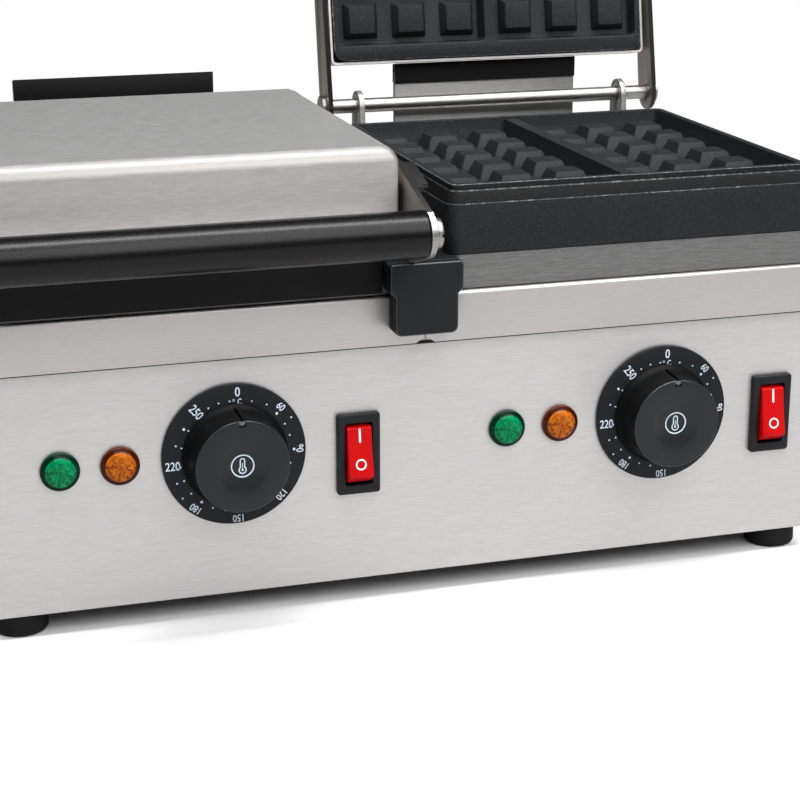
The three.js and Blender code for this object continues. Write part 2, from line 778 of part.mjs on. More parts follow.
function arm(direction, rests) {
  const end = new THREE.Vector2(-handleReach, handleHeight);
  const eye = new THREE.Vector2(hingeBack, hingeHeight);
  const knee = new THREE.Vector2(armKneeBack, armTopHeight);
  const underKnee = new THREE.Vector2(armKneeBack, armBottomHeight);
  const toe = new THREE.Vector2(armFootFront, blockTop + seatGap);
  const heel = new THREE.Vector2(armFootBack, blockTop + seatGap);
  const restFoot = rests ? [tangentPoint(end, armEndRadius, toe, -1), toe, heel]
    : [tangentPoint(end, armEndRadius, underKnee, -1)];
  const topEnd = tangentPoint(end, armEndRadius, knee, 1);
  const web = new THREE.Shape([...restFoot, underKnee, tangentPoint(eye, hingeEyeRadius, underKnee, 1),
    tangentPoint(eye, hingeEyeRadius, knee, -1), knee, topEnd]);
  const [x0, x1] = [armInner, armOuter];
  const slope = (knee.y - topEnd.y) / (knee.x - topEnd.x);
  const topAt = (y) => knee.y + (y - knee.x) * slope;
  const [flangeFrontTop, flangeBackTop] = [topAt(armFlangeFront), topAt(armFlangeBack)];
  const flange = alongX(outline([
    [armFlangeFront, flangeFrontTop - armFlangeWall], [armFlangeBack, flangeBackTop - armFlangeWall],
    [armFlangeBack, flangeBackTop], [armFlangeFront, flangeFrontTop],
  ]), x1 - seatGap, x1 + armFlangeWidth);
  const notch = block(x1 + armFlangeWidth / 2, x1 + armFlangeWidth + cutOverrun, armFlangeFront - cutOverrun,
    armFlangeFront + armNotchLength, lidApronBottom, armTopHeight);
  const dimplePlaces = [armDimpleFrontShare, armDimpleBackShare].map((share) => (
    [shellDepth * share, (armTopHeight + armBottomHeight) / 2]));
  const dimples = dimplePlaces.map(([y, z]) => moved(turned([
    [0, lidHalf + seatGap], [armDimpleRadius - armDimpleDraft, lidHalf + seatGap],
    [armDimpleRadius, x0 + seatGap], [0, x0 + seatGap],
  ], unitX, smallFacets), 0, y, z));
  const hollows = dimplePlaces.map(([y, z]) => moved(turned([
    [0, x0 - seatGap], [armDimpleRadius - 2 * armDimpleDraft, x0 - seatGap],
    [armDimpleRadius - armDimpleDraft, x1 + seatGap], [0, x1 + seatGap],
  ], unitX, smallFacets), 0, y, z));
  const holes = [
    moved(rod(handleRodRadius + seatGap, x0 - cutOverrun, x1 + cutOverrun, unitX), 0, end.x, end.y),
    moved(rod(hingeRodRadius + seatGap, x0 - cutOverrun, x1 + cutOverrun, unitX, midFacets), 0, eye.x, eye.y),
  ];
  const body = cutBy(joined([
    alongX(web, x0, x1),
    moved(rod(armEndRadius, x0, x1, unitX, roundFacets), 0, end.x, end.y),
    moved(rod(hingeEyeRadius, x0, x1, unitX, roundFacets), 0, eye.x, eye.y),
    flange, ...dimples,
  ]), [notch, ...hollows, ...holes]);
  return direction > 0 ? body : body.mirror([1, 0, 0]);
}

// Handle: a round grip between the arms, held by one tie rod with a washer and a domed nut at each end

function handleBar() {
  const half = armInner - seatGap;
  const bore = handleRodRadius + seatGap;
  const bar = turned([
    [bore, -half], [handleRadius - handleChamfer, -half],
    [handleRadius, -half + handleChamfer], [handleRadius, half - handleChamfer],
    [handleRadius - handleChamfer, half], [bore, half], [bore, -half],
  ], unitX, roundFacets);
  return moved(bar, 0, -handleReach, handleHeight);
}

function handleRod() {
  const start = armOuter + seatGap;
  const nut = start + handleWasher;
  const half = [
    [handleRodRadius, start], [handleWasherRadius, start], [handleWasherRadius, nut],
    [handleNutRadius, nut], [handleNutRadius * nutDomeShare, nut + handleNut], [0, nut + handleNut],
  ];
  const mirrored = half.map(([radius, along]) => [radius, -along]).reverse();
  return moved(turned([...mirrored, ...half], unitX, midFacets), 0, -handleReach, handleHeight);
}

// Hinge: a rod through both arms and both bracket ears

function hingeRod() {
  const start = armOuter + seatGap;
  const headed = turned([
    [0, -start - hingeRodHead], [hingeRodHeadRadius, -start - hingeRodHead], [hingeRodHeadRadius, -start],
    [hingeRodRadius, -start], [hingeRodRadius, start], [hingeRodHeadRadius, start],
    [hingeRodHeadRadius, start + hingeRodHead], [0, start + hingeRodHead],
  ], unitX, midFacets);
  return moved(headed, 0, hingeBack, hingeHeight);
}

// The open lid's rear wall lies on the stop's pad: its height there follows from the hinge and the angle

const openTurn = THREE.MathUtils.degToRad(openAngle);

function openWallHeight(y) {
  const reach = lidBack - hingeBack;
  const along = (y - hingeBack - reach * Math.cos(openTurn)) / Math.sin(openTurn);
  return hingeHeight - reach * Math.sin(openTurn) + along * Math.cos(openTurn);
}

function hingeBracket() {
  const half = plateWidth / 2 - riserInset - bracketEarInset + bracketWall;
  const low = deckTop + seatGap;
  const base = block(-half, half, bracketFront, bracketBack, low, low + bracketWall);
  const earShape = new THREE.Shape();
  earShape.moveTo(bracketFront, low);
  earShape.lineTo(bracketBack - bracketWall, low);
  earShape.lineTo(hingeBack + bracketEarRadius, hingeHeight);
  earShape.absarc(hingeBack, hingeHeight, bracketEarRadius, 0, Math.PI, false);
  earShape.lineTo(bracketFront, low);
  const ears = [-half, half - bracketWall].map((x) => alongX(earShape, x, x + bracketWall));
  const stop = block(-stopWidth / 2, stopWidth / 2, bracketBack - bracketWall, bracketBack,
    low, openWallHeight(bracketBack) - stopPadHeight);
  const bore = moved(rod(hingeRodRadius + runningGap, -half - cutOverrun, half + cutOverrun, unitX,
    midFacets), 0, hingeBack, hingeHeight);
  return cutBy(joined([base, ...ears, stop]), [bore]);
}

function stopPad() {
  const front = bracketBack - bracketWall - sheetWall - seatGap;
  const back = bracketBack + sheetWall + seatGap;
  const low = openWallHeight(bracketBack) - stopPadHeight - stopPadOverlap;
  const outer = alongX(outline([[front, low], [back, low], [back, openWallHeight(back) - seatGap],
    [front, openWallHeight(front) - seatGap]]), -stopWidth / 2, stopWidth / 2);
  const slot = block(-stopWidth / 2 - cutOverrun, stopWidth / 2 + cutOverrun,
    front + sheetWall, back - sheetWall, low - cutOverrun,
    openWallHeight(bracketBack) - stopPadHeight + seatGap);
  return outer.subtract(slot);
}

// Centre block: T outline, a base that reaches over the deck and a cap in front

function blockOutline(shrink) {
  const sides = (width) => [-1, 1].map((side) => side * (width / 2 - shrink) - blockOffset);
  const [wideLeft, wideRight] = sides(blockWidth);
  const [narrowLeft, narrowRight] = sides(blockLowerWidth);
  const low = blockBottom + shrink + blockBottomRadius;
  const high = blockTop - blockTopRadius;
  const shape = new THREE.Shape();
  shape.moveTo(narrowLeft + blockBottomRadius, blockBottom + shrink);
  shape.absarc(narrowRight - blockBottomRadius, low, blockBottomRadius, -Math.PI / 2, 0, false);
  shape.lineTo(narrowRight, blockShoulderBottom + shrink);
  shape.lineTo(wideRight, blockShoulderTop + shrink);
  shape.absarc(wideRight - blockTopRadius, high, blockTopRadius, 0, Math.PI / 2, false);
  shape.absarc(wideLeft + blockTopRadius, high, blockTopRadius, Math.PI / 2, Math.PI, false);
  shape.lineTo(wideLeft, blockShoulderTop + shrink);
  shape.lineTo(narrowLeft, blockShoulderBottom + shrink);
  shape.absarc(narrowLeft + blockBottomRadius, low, blockBottomRadius, Math.PI, -Math.PI / 2, false);
  return shape;
}

function blockBase() {
  const front = -blockFront + blockCap + seatGap;
  const back = -coverProud - seatGap;
  const low = deckTop + seatGap;
  const neck = block(-blockNeckWidth / 2, blockNeckWidth / 2, back - coverWall, blockNeckBack, low, blockTop);
  const overDeck = alongY(blockOutline(0), back - coverWall, -blockPlateGap)
    .intersect(block(-blockWidth, blockWidth, -blockFront, blockNeckBack, low, blockTop + cutOverrun));
  return joined([alongY(blockOutline(0), front, back), overDeck, neck]);
}

function blockFrontCap() {
  const step = blockCap - blockCapInset;
  return joined([
    alongY(blockOutline(0), -blockFront + blockCap - step, -blockFront + blockCap),
    alongY(blockOutline(blockCapInset), -blockFront, -blockFront + blockCap - step / 2),
  ]);
}

// Controls

function lamp() {
  const dome = [];
  for (let i = 0; i <= cornerFacets; i += 1) {
    const turn = i / cornerFacets * Math.PI / 2;
    dome.push([lampLensRadius * Math.cos(turn), seatGap + lampRimHeight + lampDome * Math.sin(turn)]);
  }
  dome[dome.length - 1][0] = 0;
  const lens = turned([[0, seatGap], [lampLensRadius, seatGap], ...dome], forward, midFacets);
  const barrel = rod(lampBodyRadius, -lampBodyDepth, seatGap + lampRimHeight, forward);
  const nutFront = -sheetWall - seatGap;
  const nut = rod(lampNutRadius, nutFront - lampNutDepth, nutFront, forward, nutFacets);
  const [pinPlace, pinHalf] = [lampBodyRadius / 2, lampPinThickness / 2];
  const pins = [-1, 1].map((side) => block(side * pinPlace - pinHalf, side * pinPlace + pinHalf,
    lampBodyDepth - lampPinWidth, lampBodyDepth + lampPinLength, -lampPinWidth / 2, lampPinWidth / 2));
  return joined([lens, barrel, nut, ...pins]);
}

function dialDisc() {
  const back = seatGap;
  const front = seatGap + dialThickness;
  const bore = thermostatNeckRadius + seatGap;
  return turned([
    [bore, back], [dialRadius, back], [dialRadius, front - dialEdge], [dialRadius - dialEdge, front],
    [bore, front], [bore, back],
  ], forward, dialFacets);
}

function knob() {
  const base = 2 * seatGap + dialThickness;
  const face = base + knobHeight;
  const body = turned([
    [0, base], [knobFootRadius, base], [knobFootRadius, base + knobFootHeight / 2],
    [(knobFootRadius + knobWaistRadius) / 2, base + knobFootHeight],
    [knobWaistRadius, base + 2 * knobFootHeight], [knobFaceRadius, face - knobFaceEdge],
    [knobFaceRadius - knobFaceEdge, face],
    [knobDishRadius, face], [knobDishRadius - knobDishDepth, face - knobDishDepth], [0, face - knobDishDepth],
  ], forward, roundFacets);
  const hollow = turned([
    [knobHubRadius, base - cutOverrun], [knobHollowRadius, base - cutOverrun],
    [knobHollowRadius, base + knobHollowDepth], [knobHubRadius, base + knobHollowDepth],
    [knobHubRadius, base - cutOverrun],
  ], forward, smallFacets);
  const bore = rod(spindleRadius + seatGap, base - cutOverrun, base + spindleInKnob + seatGap, forward);
  const pointer = block(-pointerWidth / 2, pointerWidth / 2, -face - cutOverrun, -face + pointerDepth,
    knobFaceRadius - pointerLength, knobFaceRadius + cutOverrun);
  return cutBy(body, [hollow, bore, pointer]);
}

const spindleStart = -sheetWall - thermostatSetBack - spindleInBody;

function spindle() {
  return rod(spindleRadius, spindleStart, 2 * seatGap + dialThickness + spindleInKnob, forward);
}

function thermostat() {
  const front = sheetWall + thermostatSetBack;
  const half = thermostatWidth / 2;
  const box = alongY(rounded(-half, half, -half, half, panelCornerRadius), front, front + thermostatDepth);
  const neck = rod(thermostatNeckRadius, -front - cutOverrun, seatGap + dialThickness, forward);
  const bore = rod(spindleRadius + seatGap, spindleStart - seatGap, dialThickness + cutOverrun, forward);
  const tabs = [-1, 1].flatMap((side) => [-1, 1].map((level) => block(
    side * half / 2 - thermostatTabWidth / 2, side * half / 2 + thermostatTabWidth / 2,
    front + thermostatDepth - sheetWall, front + thermostatDepth + thermostatTabLength,
    level * half / 2 - sheetWall / 2, level * half / 2 + sheetWall / 2)));
  return joined([box, neck, ...tabs]).subtract(bore);
}

function switchHousing() {
  const [w, h] = [switchWidth / 2, switchTall / 2];
  const frameAt = (shrink) => rounded(-w + shrink, w - shrink, -h + shrink, h - shrink, switchCorner);
  const bezel = lofted([
    { shape: frameAt(0), z: seatGap }, { shape: frameAt(0), z: seatGap + switchProud - switchBevel },
    { shape: frameAt(switchBevel), z: seatGap + switchProud },
  ]).rotate([rightAngle, 0, 0]);
  const box = block(-switchBodyWidth / 2, switchBodyWidth / 2, -2 * seatGap, switchBodyDepth,
    -switchBodyTall / 2, switchBodyTall / 2);
  const well = block(-switchWellWidth / 2, switchWellWidth / 2, -switchProud - cutOverrun, switchWellDepth,
    -switchWellTall / 2, switchWellTall / 2);
  const pinEnd = switchWellWidth / 2 + rockerPinBite + seatGap;
  const pinHole = moved(rod(rockerPinRadius + seatGap, -pinEnd, pinEnd, unitX), 0, rockerPivotDepth, 0);
  const blades = [-1, 0, 1].map((level) => block(-thermostatTabWidth / 2, thermostatTabWidth / 2,
    switchBodyDepth - sheetWall, switchBodyDepth + thermostatTabLength,
    level * bladeSpacing - sheetWall / 2, level * bladeSpacing + sheetWall / 2));
  return cutBy(joined([bezel, box, ...blades]), [well, pinHole]);
}

// Rocker about its own pivot: one slightly hollow face with bevelled ends, tilted to the ON side

function rocker() {
  const [half, face, back] = [rockerTall / 2, rockerFaceTall / 2, rockerBackTall / 2];
  const bevel = -rockerReach + rockerBevelDepth;
  const profile = outline([
    [-rockerReach, -face], [rockerFaceDish - rockerReach, 0], [-rockerReach, face],
    [bevel, half], [rockerBack, back], [rockerBack, -back], [bevel, -half],
  ]);
  const body = alongX(profile, -rockerWidth / 2, rockerWidth / 2);
  const pinEnd = switchWellWidth / 2 + rockerPinBite;
  return body.add(rod(rockerPinRadius, -pinEnd, pinEnd, unitX));
}

// Heaters: one bent tube under the lower plate, one over the upper plate

class HairpinCurve extends THREE.Curve {
  constructor(halfWidth, near, far, z, legs) {
    super();
    this.path = new THREE.CurvePath();
    const pitch = 2 * halfWidth / (legs - 1);
    const radius = pitch / 2;
    let x = -halfWidth;
    let [from, to] = [near, far];
    for (let leg = 0; leg < legs; leg += 1) {
      this.path.add(new THREE.LineCurve3(new THREE.Vector3(x, from, z), new THREE.Vector3(x, to, z)));
      if (leg + 1 < legs) {
        const bow = radius * heaterBowShare * Math.sign(to - from);
        this.path.add(new THREE.CubicBezierCurve3(
          new THREE.Vector3(x, to, z), new THREE.Vector3(x, to + bow, z),
          new THREE.Vector3(x + pitch, to + bow, z), new THREE.Vector3(x + pitch, to, z)));
      }
      x += pitch;
      [from, to] = [to, from];
    }
  }

  getPoint(t, target) {
    return this.path.getPoint(t, target);
  }
}

function heater(z) {
  const halfWidth = plateWidth / 2 - plateWidth * heaterInsetShare;
  const near = shellDepth * heaterSpacingShare;
  const curve = new HairpinCurve(halfWidth, shellDepth - heaterTail, near, z, heaterLegs);
  const section = new THREE.Shape();
  section.absarc(0, 0, heaterRadius, 0, 2 * Math.PI, false);
  const geometry = new THREE.ExtrudeGeometry(section, {
    steps: heaterSteps, curveSegments: cornerFacets, extrudePath: curve,
  });
  return solid(geometry);
}

const lowerHeaterHeight = lipTop - cavityDepth - lowerFloor - seatGap - heaterRadius;
const upperHeaterHeight = upperBottom + upperThickness + seatGap + heaterRadius;

// Cord gland and terminal block at the back

function cordGland() {
  const body = turned([
    [glandBore, -glandNose], [glandRadius, -glandNose], [glandRadius, seatGap],
    [glandFlangeRadius, seatGap], [glandFlangeRadius, seatGap + glandFlange],
    [glandRadius, seatGap + glandFlange], [glandRadius * glandTaperShare, seatGap + glandFlange + glandNose],
    [glandBore, seatGap + glandFlange + glandNose], [glandBore, -glandNose],
  ], unitY, midFacets);
  return moved(body, glandPlace, bodyDepth, glandHeight);
}

function terminalBlock() {
  const x = glandPlace - glandFlangeRadius - terminalWidth;
  const back = bodyDepth - sheetWall - seatGap - terminalDepth;
  const low = sheetWall + seatGap;
  const body = block(x - terminalWidth / 2, x + terminalWidth / 2, back - terminalDepth, back, low,
    low + terminalHeight);
  const pitch = terminalWidth / terminalPoles;
  const cutters = [];
  for (let pole = 0; pole < terminalPoles; pole += 1) {
    const poleX = x + (pole - (terminalPoles - 1) / 2) * pitch;
    cutters.push(moved(rod(terminalBore, -cutOverrun, terminalDepth + cutOverrun, unitY),
      poleX, back - terminalDepth, low + terminalHeight * terminalBoreShare));
    if (pole > 0) {
      cutters.push(block(poleX - pitch / 2 - sheetWall / 2, poleX - pitch / 2 + sheetWall / 2,
        back - terminalDepth - cutOverrun, back + cutOverrun, low + terminalHeight * terminalSlotShare,
        low + terminalHeight + cutOverrun));
    }
  }
  return cutBy(body, cutters);
}

// Materials

const brushedPanel = finish(steelLight, panelRoughness, sheetMetalShare);
const brushedDark = finish(steelDark, darkRoughness, sheetMetalShare);
const castFinish = finish(castBlack, castRoughness, castMetalShare);
const mouldFinish = finish(mouldBlack, mouldRoughness, 0);
const rubberFinish = finish(rubberBlack, rubberRoughness, 0);
const chromeFinish = finish(chromeLight, chromeRoughness, 1);
const redFinish = finish(rockerRed, rockerRoughness, 0);
const greenFinish = finish(lampGreen, lensRoughness, 0);
const orangeFinish = finish(lampOrange, lensRoughness, 0);
const glandFinish = finish(glandGrey, glandRoughness, 0);
const ceramicFinish = finish(ceramicWhite, mouldRoughness, 0);

// Assembly

const machine = new THREE.Group();

machine.add(piece('bottom_sheet', bottomSheet(), brushedDark));
machine.add(piece('front_panel', frontPanel(), brushedPanel));
machine.add(piece('rear_shell', rearShell(), brushedPanel));
screwPlaces().forEach(({ x, z, name }) => {
  const screw = piece(`shell_screw_${name}`, shellScrew(), chromeFinish);
  screw.position.set(x, bodyDepth, z);
  machine.add(screw);
});
machine.add(piece('terminal_block', terminalBlock(), ceramicFinish));
machine.add(piece('cord_gland', cordGland(), glandFinish));
machine.add(piece('block_base', blockBase(), mouldFinish));
machine.add(piece('block_cap', blockFrontCap(), mouldFinish));

for (const { x, y, name } of footPlaces) {
  const rubberFoot = piece(`foot_${name}`, foot(), rubberFinish);
  rubberFoot.position.set(x, y, 0);
  machine.add(rubberFoot);
}

for (const { side, shift } of controlPlaces) {
  const placed = (mesh, x, z) => {
    mesh.position.set(x + shift, 0, z);
    machine.add(mesh);
  };
  placed(piece(`lamp_green_${side}`, lamp(), greenFinish), greenPlace, lampHeight);
  placed(piece(`lamp_orange_${side}`, lamp(), orangeFinish), orangePlace, lampHeight);
  placed(piece(`dial_disc_${side}`, dialDisc(), mouldFinish), dialPlace, dialHeight);
  placed(piece(`thermostat_${side}`, thermostat(), ceramicFinish), dialPlace, dialHeight);
  placed(piece(`spindle_${side}`, spindle(), chromeFinish), dialPlace, dialHeight);
  placed(piece(`knob_${side}`, knob(), mouldFinish), dialPlace, dialHeight);
  placed(piece(`switch_housing_${side}`, switchHousing(), mouldFinish), switchPlace, switchHeight);
  const rockerMesh = piece(`rocker_${side}`, rocker(), redFinish);
  placed(rockerMesh, switchPlace, switchHeight);
  rockerMesh.position.y = rockerPivotDepth;
  rockerMesh.rotation.x = -THREE.MathUtils.degToRad(rockerTilt);
}

for (const [side, direction, opening] of [['left', -1, 0], ['right', 1, openTurn]]) {
  const station = new THREE.Group();
  station.position.x = direction * stationOffset;
  station.add(piece(`riser_${side}`, riser(), brushedDark));
  station.add(piece(`lower_plate_${side}`, lowerPlate(), castFinish));
  station.add(piece(`lower_heater_${side}`, heater(lowerHeaterHeight), brushedDark));
  station.add(piece(`hinge_bracket_${side}`, hingeBracket(), brushedDark));
  station.add(piece(`stop_pad_${side}`, stopPad(), rubberFinish));
  machine.add(station);

  const cover = piece(`top_cover_${side}`, topCover(side), brushedPanel);
  machine.add(cover);

  const swing = new THREE.Group();
  swing.position.set(0, hingeBack, hingeHeight);
  swing.rotation.x = -opening;
  const lid = new THREE.Group();
  lid.position.set(0, -hingeBack, -hingeHeight);
  lid.add(piece(`lid_shell_${side}`, lidShell(), brushedPanel));
  lid.add(piece(`upper_plate_${side}`, upperPlate(), castFinish));
  lid.add(piece(`upper_heater_${side}`, heater(upperHeaterHeight), brushedDark));
  lid.add(piece(`guard_strip_${side}`, guardStrip(side), castFinish));
  lid.add(piece(`arm_inner_${side}`, arm(-direction, true), brushedDark));
  lid.add(piece(`arm_outer_${side}`, arm(direction, false), brushedDark));
  lid.add(piece(`handle_${side}`, handleBar(), mouldFinish));
  lid.add(piece(`handle_rod_${side}`, handleRod(), chromeFinish));
  lid.add(piece(`hinge_rod_${side}`, hingeRod(), chromeFinish));
  swing.add(lid);
  station.add(swing);
}

// The origin is the middle of the outline, on the surface that the feet stand on
const part = new THREE.Group();
part.add(machine);
const bounds = new THREE.Box3().setFromObject(part, true);
const centre = bounds.getCenter(new THREE.Vector3());
machine.position.set(-centre.x, -centre.y, -bounds.min.z);

export default part;
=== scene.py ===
import json
import math

import bmesh
import bpy
from mathutils import Matrix, Vector


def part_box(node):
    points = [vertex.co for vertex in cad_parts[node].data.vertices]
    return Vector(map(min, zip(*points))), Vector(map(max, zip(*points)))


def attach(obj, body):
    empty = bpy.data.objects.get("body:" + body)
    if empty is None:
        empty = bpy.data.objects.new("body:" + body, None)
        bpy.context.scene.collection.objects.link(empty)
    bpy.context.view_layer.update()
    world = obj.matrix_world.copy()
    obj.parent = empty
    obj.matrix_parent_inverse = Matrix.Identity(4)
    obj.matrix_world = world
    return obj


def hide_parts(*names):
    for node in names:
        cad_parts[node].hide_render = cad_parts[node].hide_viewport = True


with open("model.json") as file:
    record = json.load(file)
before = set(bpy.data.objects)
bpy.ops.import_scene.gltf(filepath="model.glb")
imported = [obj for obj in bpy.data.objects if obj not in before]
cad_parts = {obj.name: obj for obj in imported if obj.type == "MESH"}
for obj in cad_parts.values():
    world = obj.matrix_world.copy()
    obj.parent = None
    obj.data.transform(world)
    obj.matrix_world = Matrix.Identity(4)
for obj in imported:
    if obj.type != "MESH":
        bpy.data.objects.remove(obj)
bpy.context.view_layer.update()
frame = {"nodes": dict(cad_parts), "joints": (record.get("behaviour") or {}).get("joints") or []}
print("frame loaded:", len(frame["nodes"]), "nodes")


def shift(x, y, z):
    return Matrix.Translation((x, y, z))


# Everything below is drawn in millimetres from the front panel's lower edge, seen from the front:
# x to the right from the middle of the machine, y into the machine, z up.
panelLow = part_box("front_panel")[0]
toFrame = shift(0, panelLow.y, panelLow.z) @ Matrix.Scale(0.001, 4)
fromFrame = toFrame.inverted()


def drawnBox(node):
    return [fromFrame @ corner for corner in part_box(node)]


def drawnMiddle(node):
    low, high = drawnBox(node)
    return (low + high) / 2


stations = {side: drawnMiddle("lower_plate_" + side).x for side in ("left", "right")}
lidJoint = next(joint for joint in frame["joints"] if joint["child"] == "lid_left")
hinge = fromFrame @ Vector(lidJoint["pos_m"])
hinge.x = 0
openAngle = math.radians(-max(lidJoint["range_deg"]))
openLid = Matrix.Translation(hinge) @ Matrix.Rotation(openAngle, 4, "X") @ Matrix.Translation(-hinge)
lidPlace = {side: shift(x, 0, 0) @ (openLid if side == "right" else Matrix())
            for side, x in stations.items()}


# Materials

def newMaterial(name, base, roughness, metallic=0.0, **extra):
    material = bpy.data.materials.new(name)
    material.use_nodes = True
    shader = material.node_tree.nodes["Principled BSDF"]
    shader.inputs["Base Color"].default_value = (*base, 1)
    shader.inputs["Roughness"].default_value = roughness
    shader.inputs["Metallic"].default_value = metallic
    for socket, value in extra.items():
        shader.inputs[socket.replace("_", " ")].default_value = value
    return material, material.node_tree, shader


def newNode(tree, kind, inputs=None, **settings):
    # makes a node; an input takes a fixed value or another node's socket
    node = tree.nodes.new("ShaderNode" + kind)
    for setting, value in settings.items():
        setattr(node, setting, value)
    for socket, value in (inputs or {}).items():
        if isinstance(value, bpy.types.NodeSocket):
            tree.links.new(value, node.inputs[socket])
        else:
            node.inputs[socket].default_value = value
    return node


def ownCoords(tree):
    return newNode(tree, "TexCoord").outputs["Object"]


def grain(tree, scale, stretch=(1, 1, 1), detail=3.0, rough=0.55):
    # noise on the piece's own coordinates, drawn out along one direction
    mapping = newNode(tree, "Mapping", {"Scale": stretch, "Vector": ownCoords(tree)})
    noise = newNode(tree, "TexNoise", {"Scale": scale, "Detail": detail, "Roughness": rough,
                                       "Vector": mapping.outputs["Vector"]})
    return noise.outputs["Fac"]


def ramped(tree, source, stops):
    ramp = tree.nodes.new("ShaderNodeValToRGB")
    elements = ramp.color_ramp.elements
    for element, (position, color) in zip(elements, (stops[0], stops[-1])):
        element.position = position
        element.color = (*color, 1)
    for position, color in stops[1:-1]:
        elements.new(position).color = (*color, 1)
    tree.links.new(source, ramp.inputs["Fac"])
    return ramp.outputs["Color"]


def ranged(tree, source, low, high):
    spread = newNode(tree, "MapRange", {"From Min": 0.3, "From Max": 0.7, "To Min": low, "To Max": high,
                                        "Value": source})
    return spread.outputs["Result"]


def bumped(tree, shader, source, strength, distance):
    bump = newNode(tree, "Bump", {"Strength": strength, "Distance": distance, "Height": source})
    tree.links.new(bump.outputs["Normal"], shader.inputs["Normal"])


def mixedColor(tree, amount, first, second, mode="MIX"):
    mix = newNode(tree, "Mix", data_type="RGBA", blend_type=mode)
    mix.inputs["Factor"].default_value = 1.0
    if amount is not None:
        tree.links.new(amount, mix.inputs["Factor"])
    for socket, value in (("A", first), ("B", second)):
        target = [s for s in mix.inputs if s.name == socket and s.type == "RGBA"][0]
        if isinstance(value, tuple):
            target.default_value = (*value, 1)
        else:
            tree.links.new(value, target)
    return [s for s in mix.outputs if s.type == "RGBA"][0]


steelLook = {
    "grainScale": 60.0,
    "alongX": (2.2, 30.0, 30.0),
    "alongY": (30.0, 2.2, 30.0),
    "middle": 0.42,
    "bump": 0.14,
}


def grey(tone):
    return (tone, tone, tone)


def brushedSteel(name, light, dark, roughness, direction, metallic=0.78, shaded=None, foldShade=None):
    # fine lines drawn out along one direction over fainter broad streaks
    material, tree, shader = newMaterial(name, light, roughness, metallic)
    stretch = steelLook[direction]
    fine = grain(tree, steelLook["grainScale"], stretch, 2.0, 0.7)
    broad = grain(tree, steelLook["grainScale"], tuple(s * steelLook["middle"] for s in stretch), 3.0)
    streaks = ramped(tree, fine, [(0.36, dark), (0.64, light)])
    cloudy = ramped(tree, broad, [(0.32, grey(0.984)), (0.68, grey(1.0))])
    color = mixedColor(tree, None, streaks, cloudy, "MULTIPLY")
    # painted shade along a seam, when one is given
    if shaded:
        color = mixedColor(tree, None, color, seamShade(tree, **shaded), "MULTIPLY")
    # painted shade: darkens the lid's rounded top edge by its 'bend' value, to tone down the highlight there
    if foldShade:
        bend = newNode(tree, "Attribute", attribute_name="bend")
        tint = ramped(tree, bend.outputs["Fac"], [(0.0, grey(1)), (1.0, grey(foldShade))])
        color = mixedColor(tree, None, color, tint, "MULTIPLY")
    tree.links.new(color, shader.inputs["Base Color"])
    tree.links.new(ranged(tree, fine, roughness - 0.04, roughness + 0.06), shader.inputs["Roughness"])
    bumped(tree, shader, fine, steelLook["bump"], 0.0002)
    return material


def seamShade(tree, edge, direction, over, line, reach, depth, tone):
    # painted shade: a near-black line just under and behind one sheet's edge, where the gap lies in shade,
    # and a soft painted shadow beside it
    parts = newNode(tree, "SeparateXYZ", {"Vector": ownCoords(tree)})
    away = newNode(tree, "MapRange", {"From Min": edge - direction * 2 * over,
                                      "From Max": edge + direction * reach, "Value": parts.outputs["Z"]})
    whole = 2 * over + reach
    start, end = over / whole, (2 * over + line) / whole
    return ramped(tree, away.outputs["Result"],
                  [(0.0, grey(0.5)), (start * 0.9, grey(0.5)), (start * 1.1, grey(tone)), (end, grey(tone)),
                   (end + 0.03, grey(depth)), (1.0, grey(1))])


def castCoat(name, base, fleck, roughness, scale, strength, specular=0.3):
    # dark coat with a fine sandy grain and paler grains in it
    material, tree, shader = newMaterial(name, base, roughness, Specular_IOR_Level=specular)
    sand = grain(tree, scale, detail=3.0, rough=0.6)
    cloud = grain(tree, 28.0, detail=2.0)
    flecks = ramped(tree, sand, [(0.34, base), (0.50, base), (0.68, fleck)])
    shade = ramped(tree, cloud, [(0.3, grey(0.8)), (0.7, grey(1.0))])
    tree.links.new(mixedColor(tree, None, flecks, shade, "MULTIPLY"), shader.inputs["Base Color"])
    tree.links.new(ranged(tree, sand, roughness - 0.06, roughness + 0.1), shader.inputs["Roughness"])
    bumped(tree, shader, sand, strength, 0.0004)
    return material


def mouldedPlastic(name, base, roughness, specular=0.5):
    # a fine skin over a faint change of tone
    material, tree, shader = newMaterial(name, base, roughness, Specular_IOR_Level=specular)
    skin = grain(tree, 1400.0, detail=2.0)
    broad = grain(tree, 40.0, detail=2.0)
    tint = tuple(c * 1.25 + 0.001 for c in base)
    tree.links.new(ramped(tree, broad, [(0.3, base), (0.7, tint)]), shader.inputs["Base Color"])
    tree.links.new(ranged(tree, skin, roughness - 0.04, roughness + 0.06), shader.inputs["Roughness"])
    bumped(tree, shader, skin, 0.12, 0.0002)
    return material


lampCut = {"spokes": 26, "ringStep": 0.0016, "cellScale": 900.0, "inner": 0.0072, "rim": 0.0090,
           "eye": 0.0009, "lineStep": 0.0005, "blur": 0.00012, "facetShare": 0.55, "chipShare": 0.6}


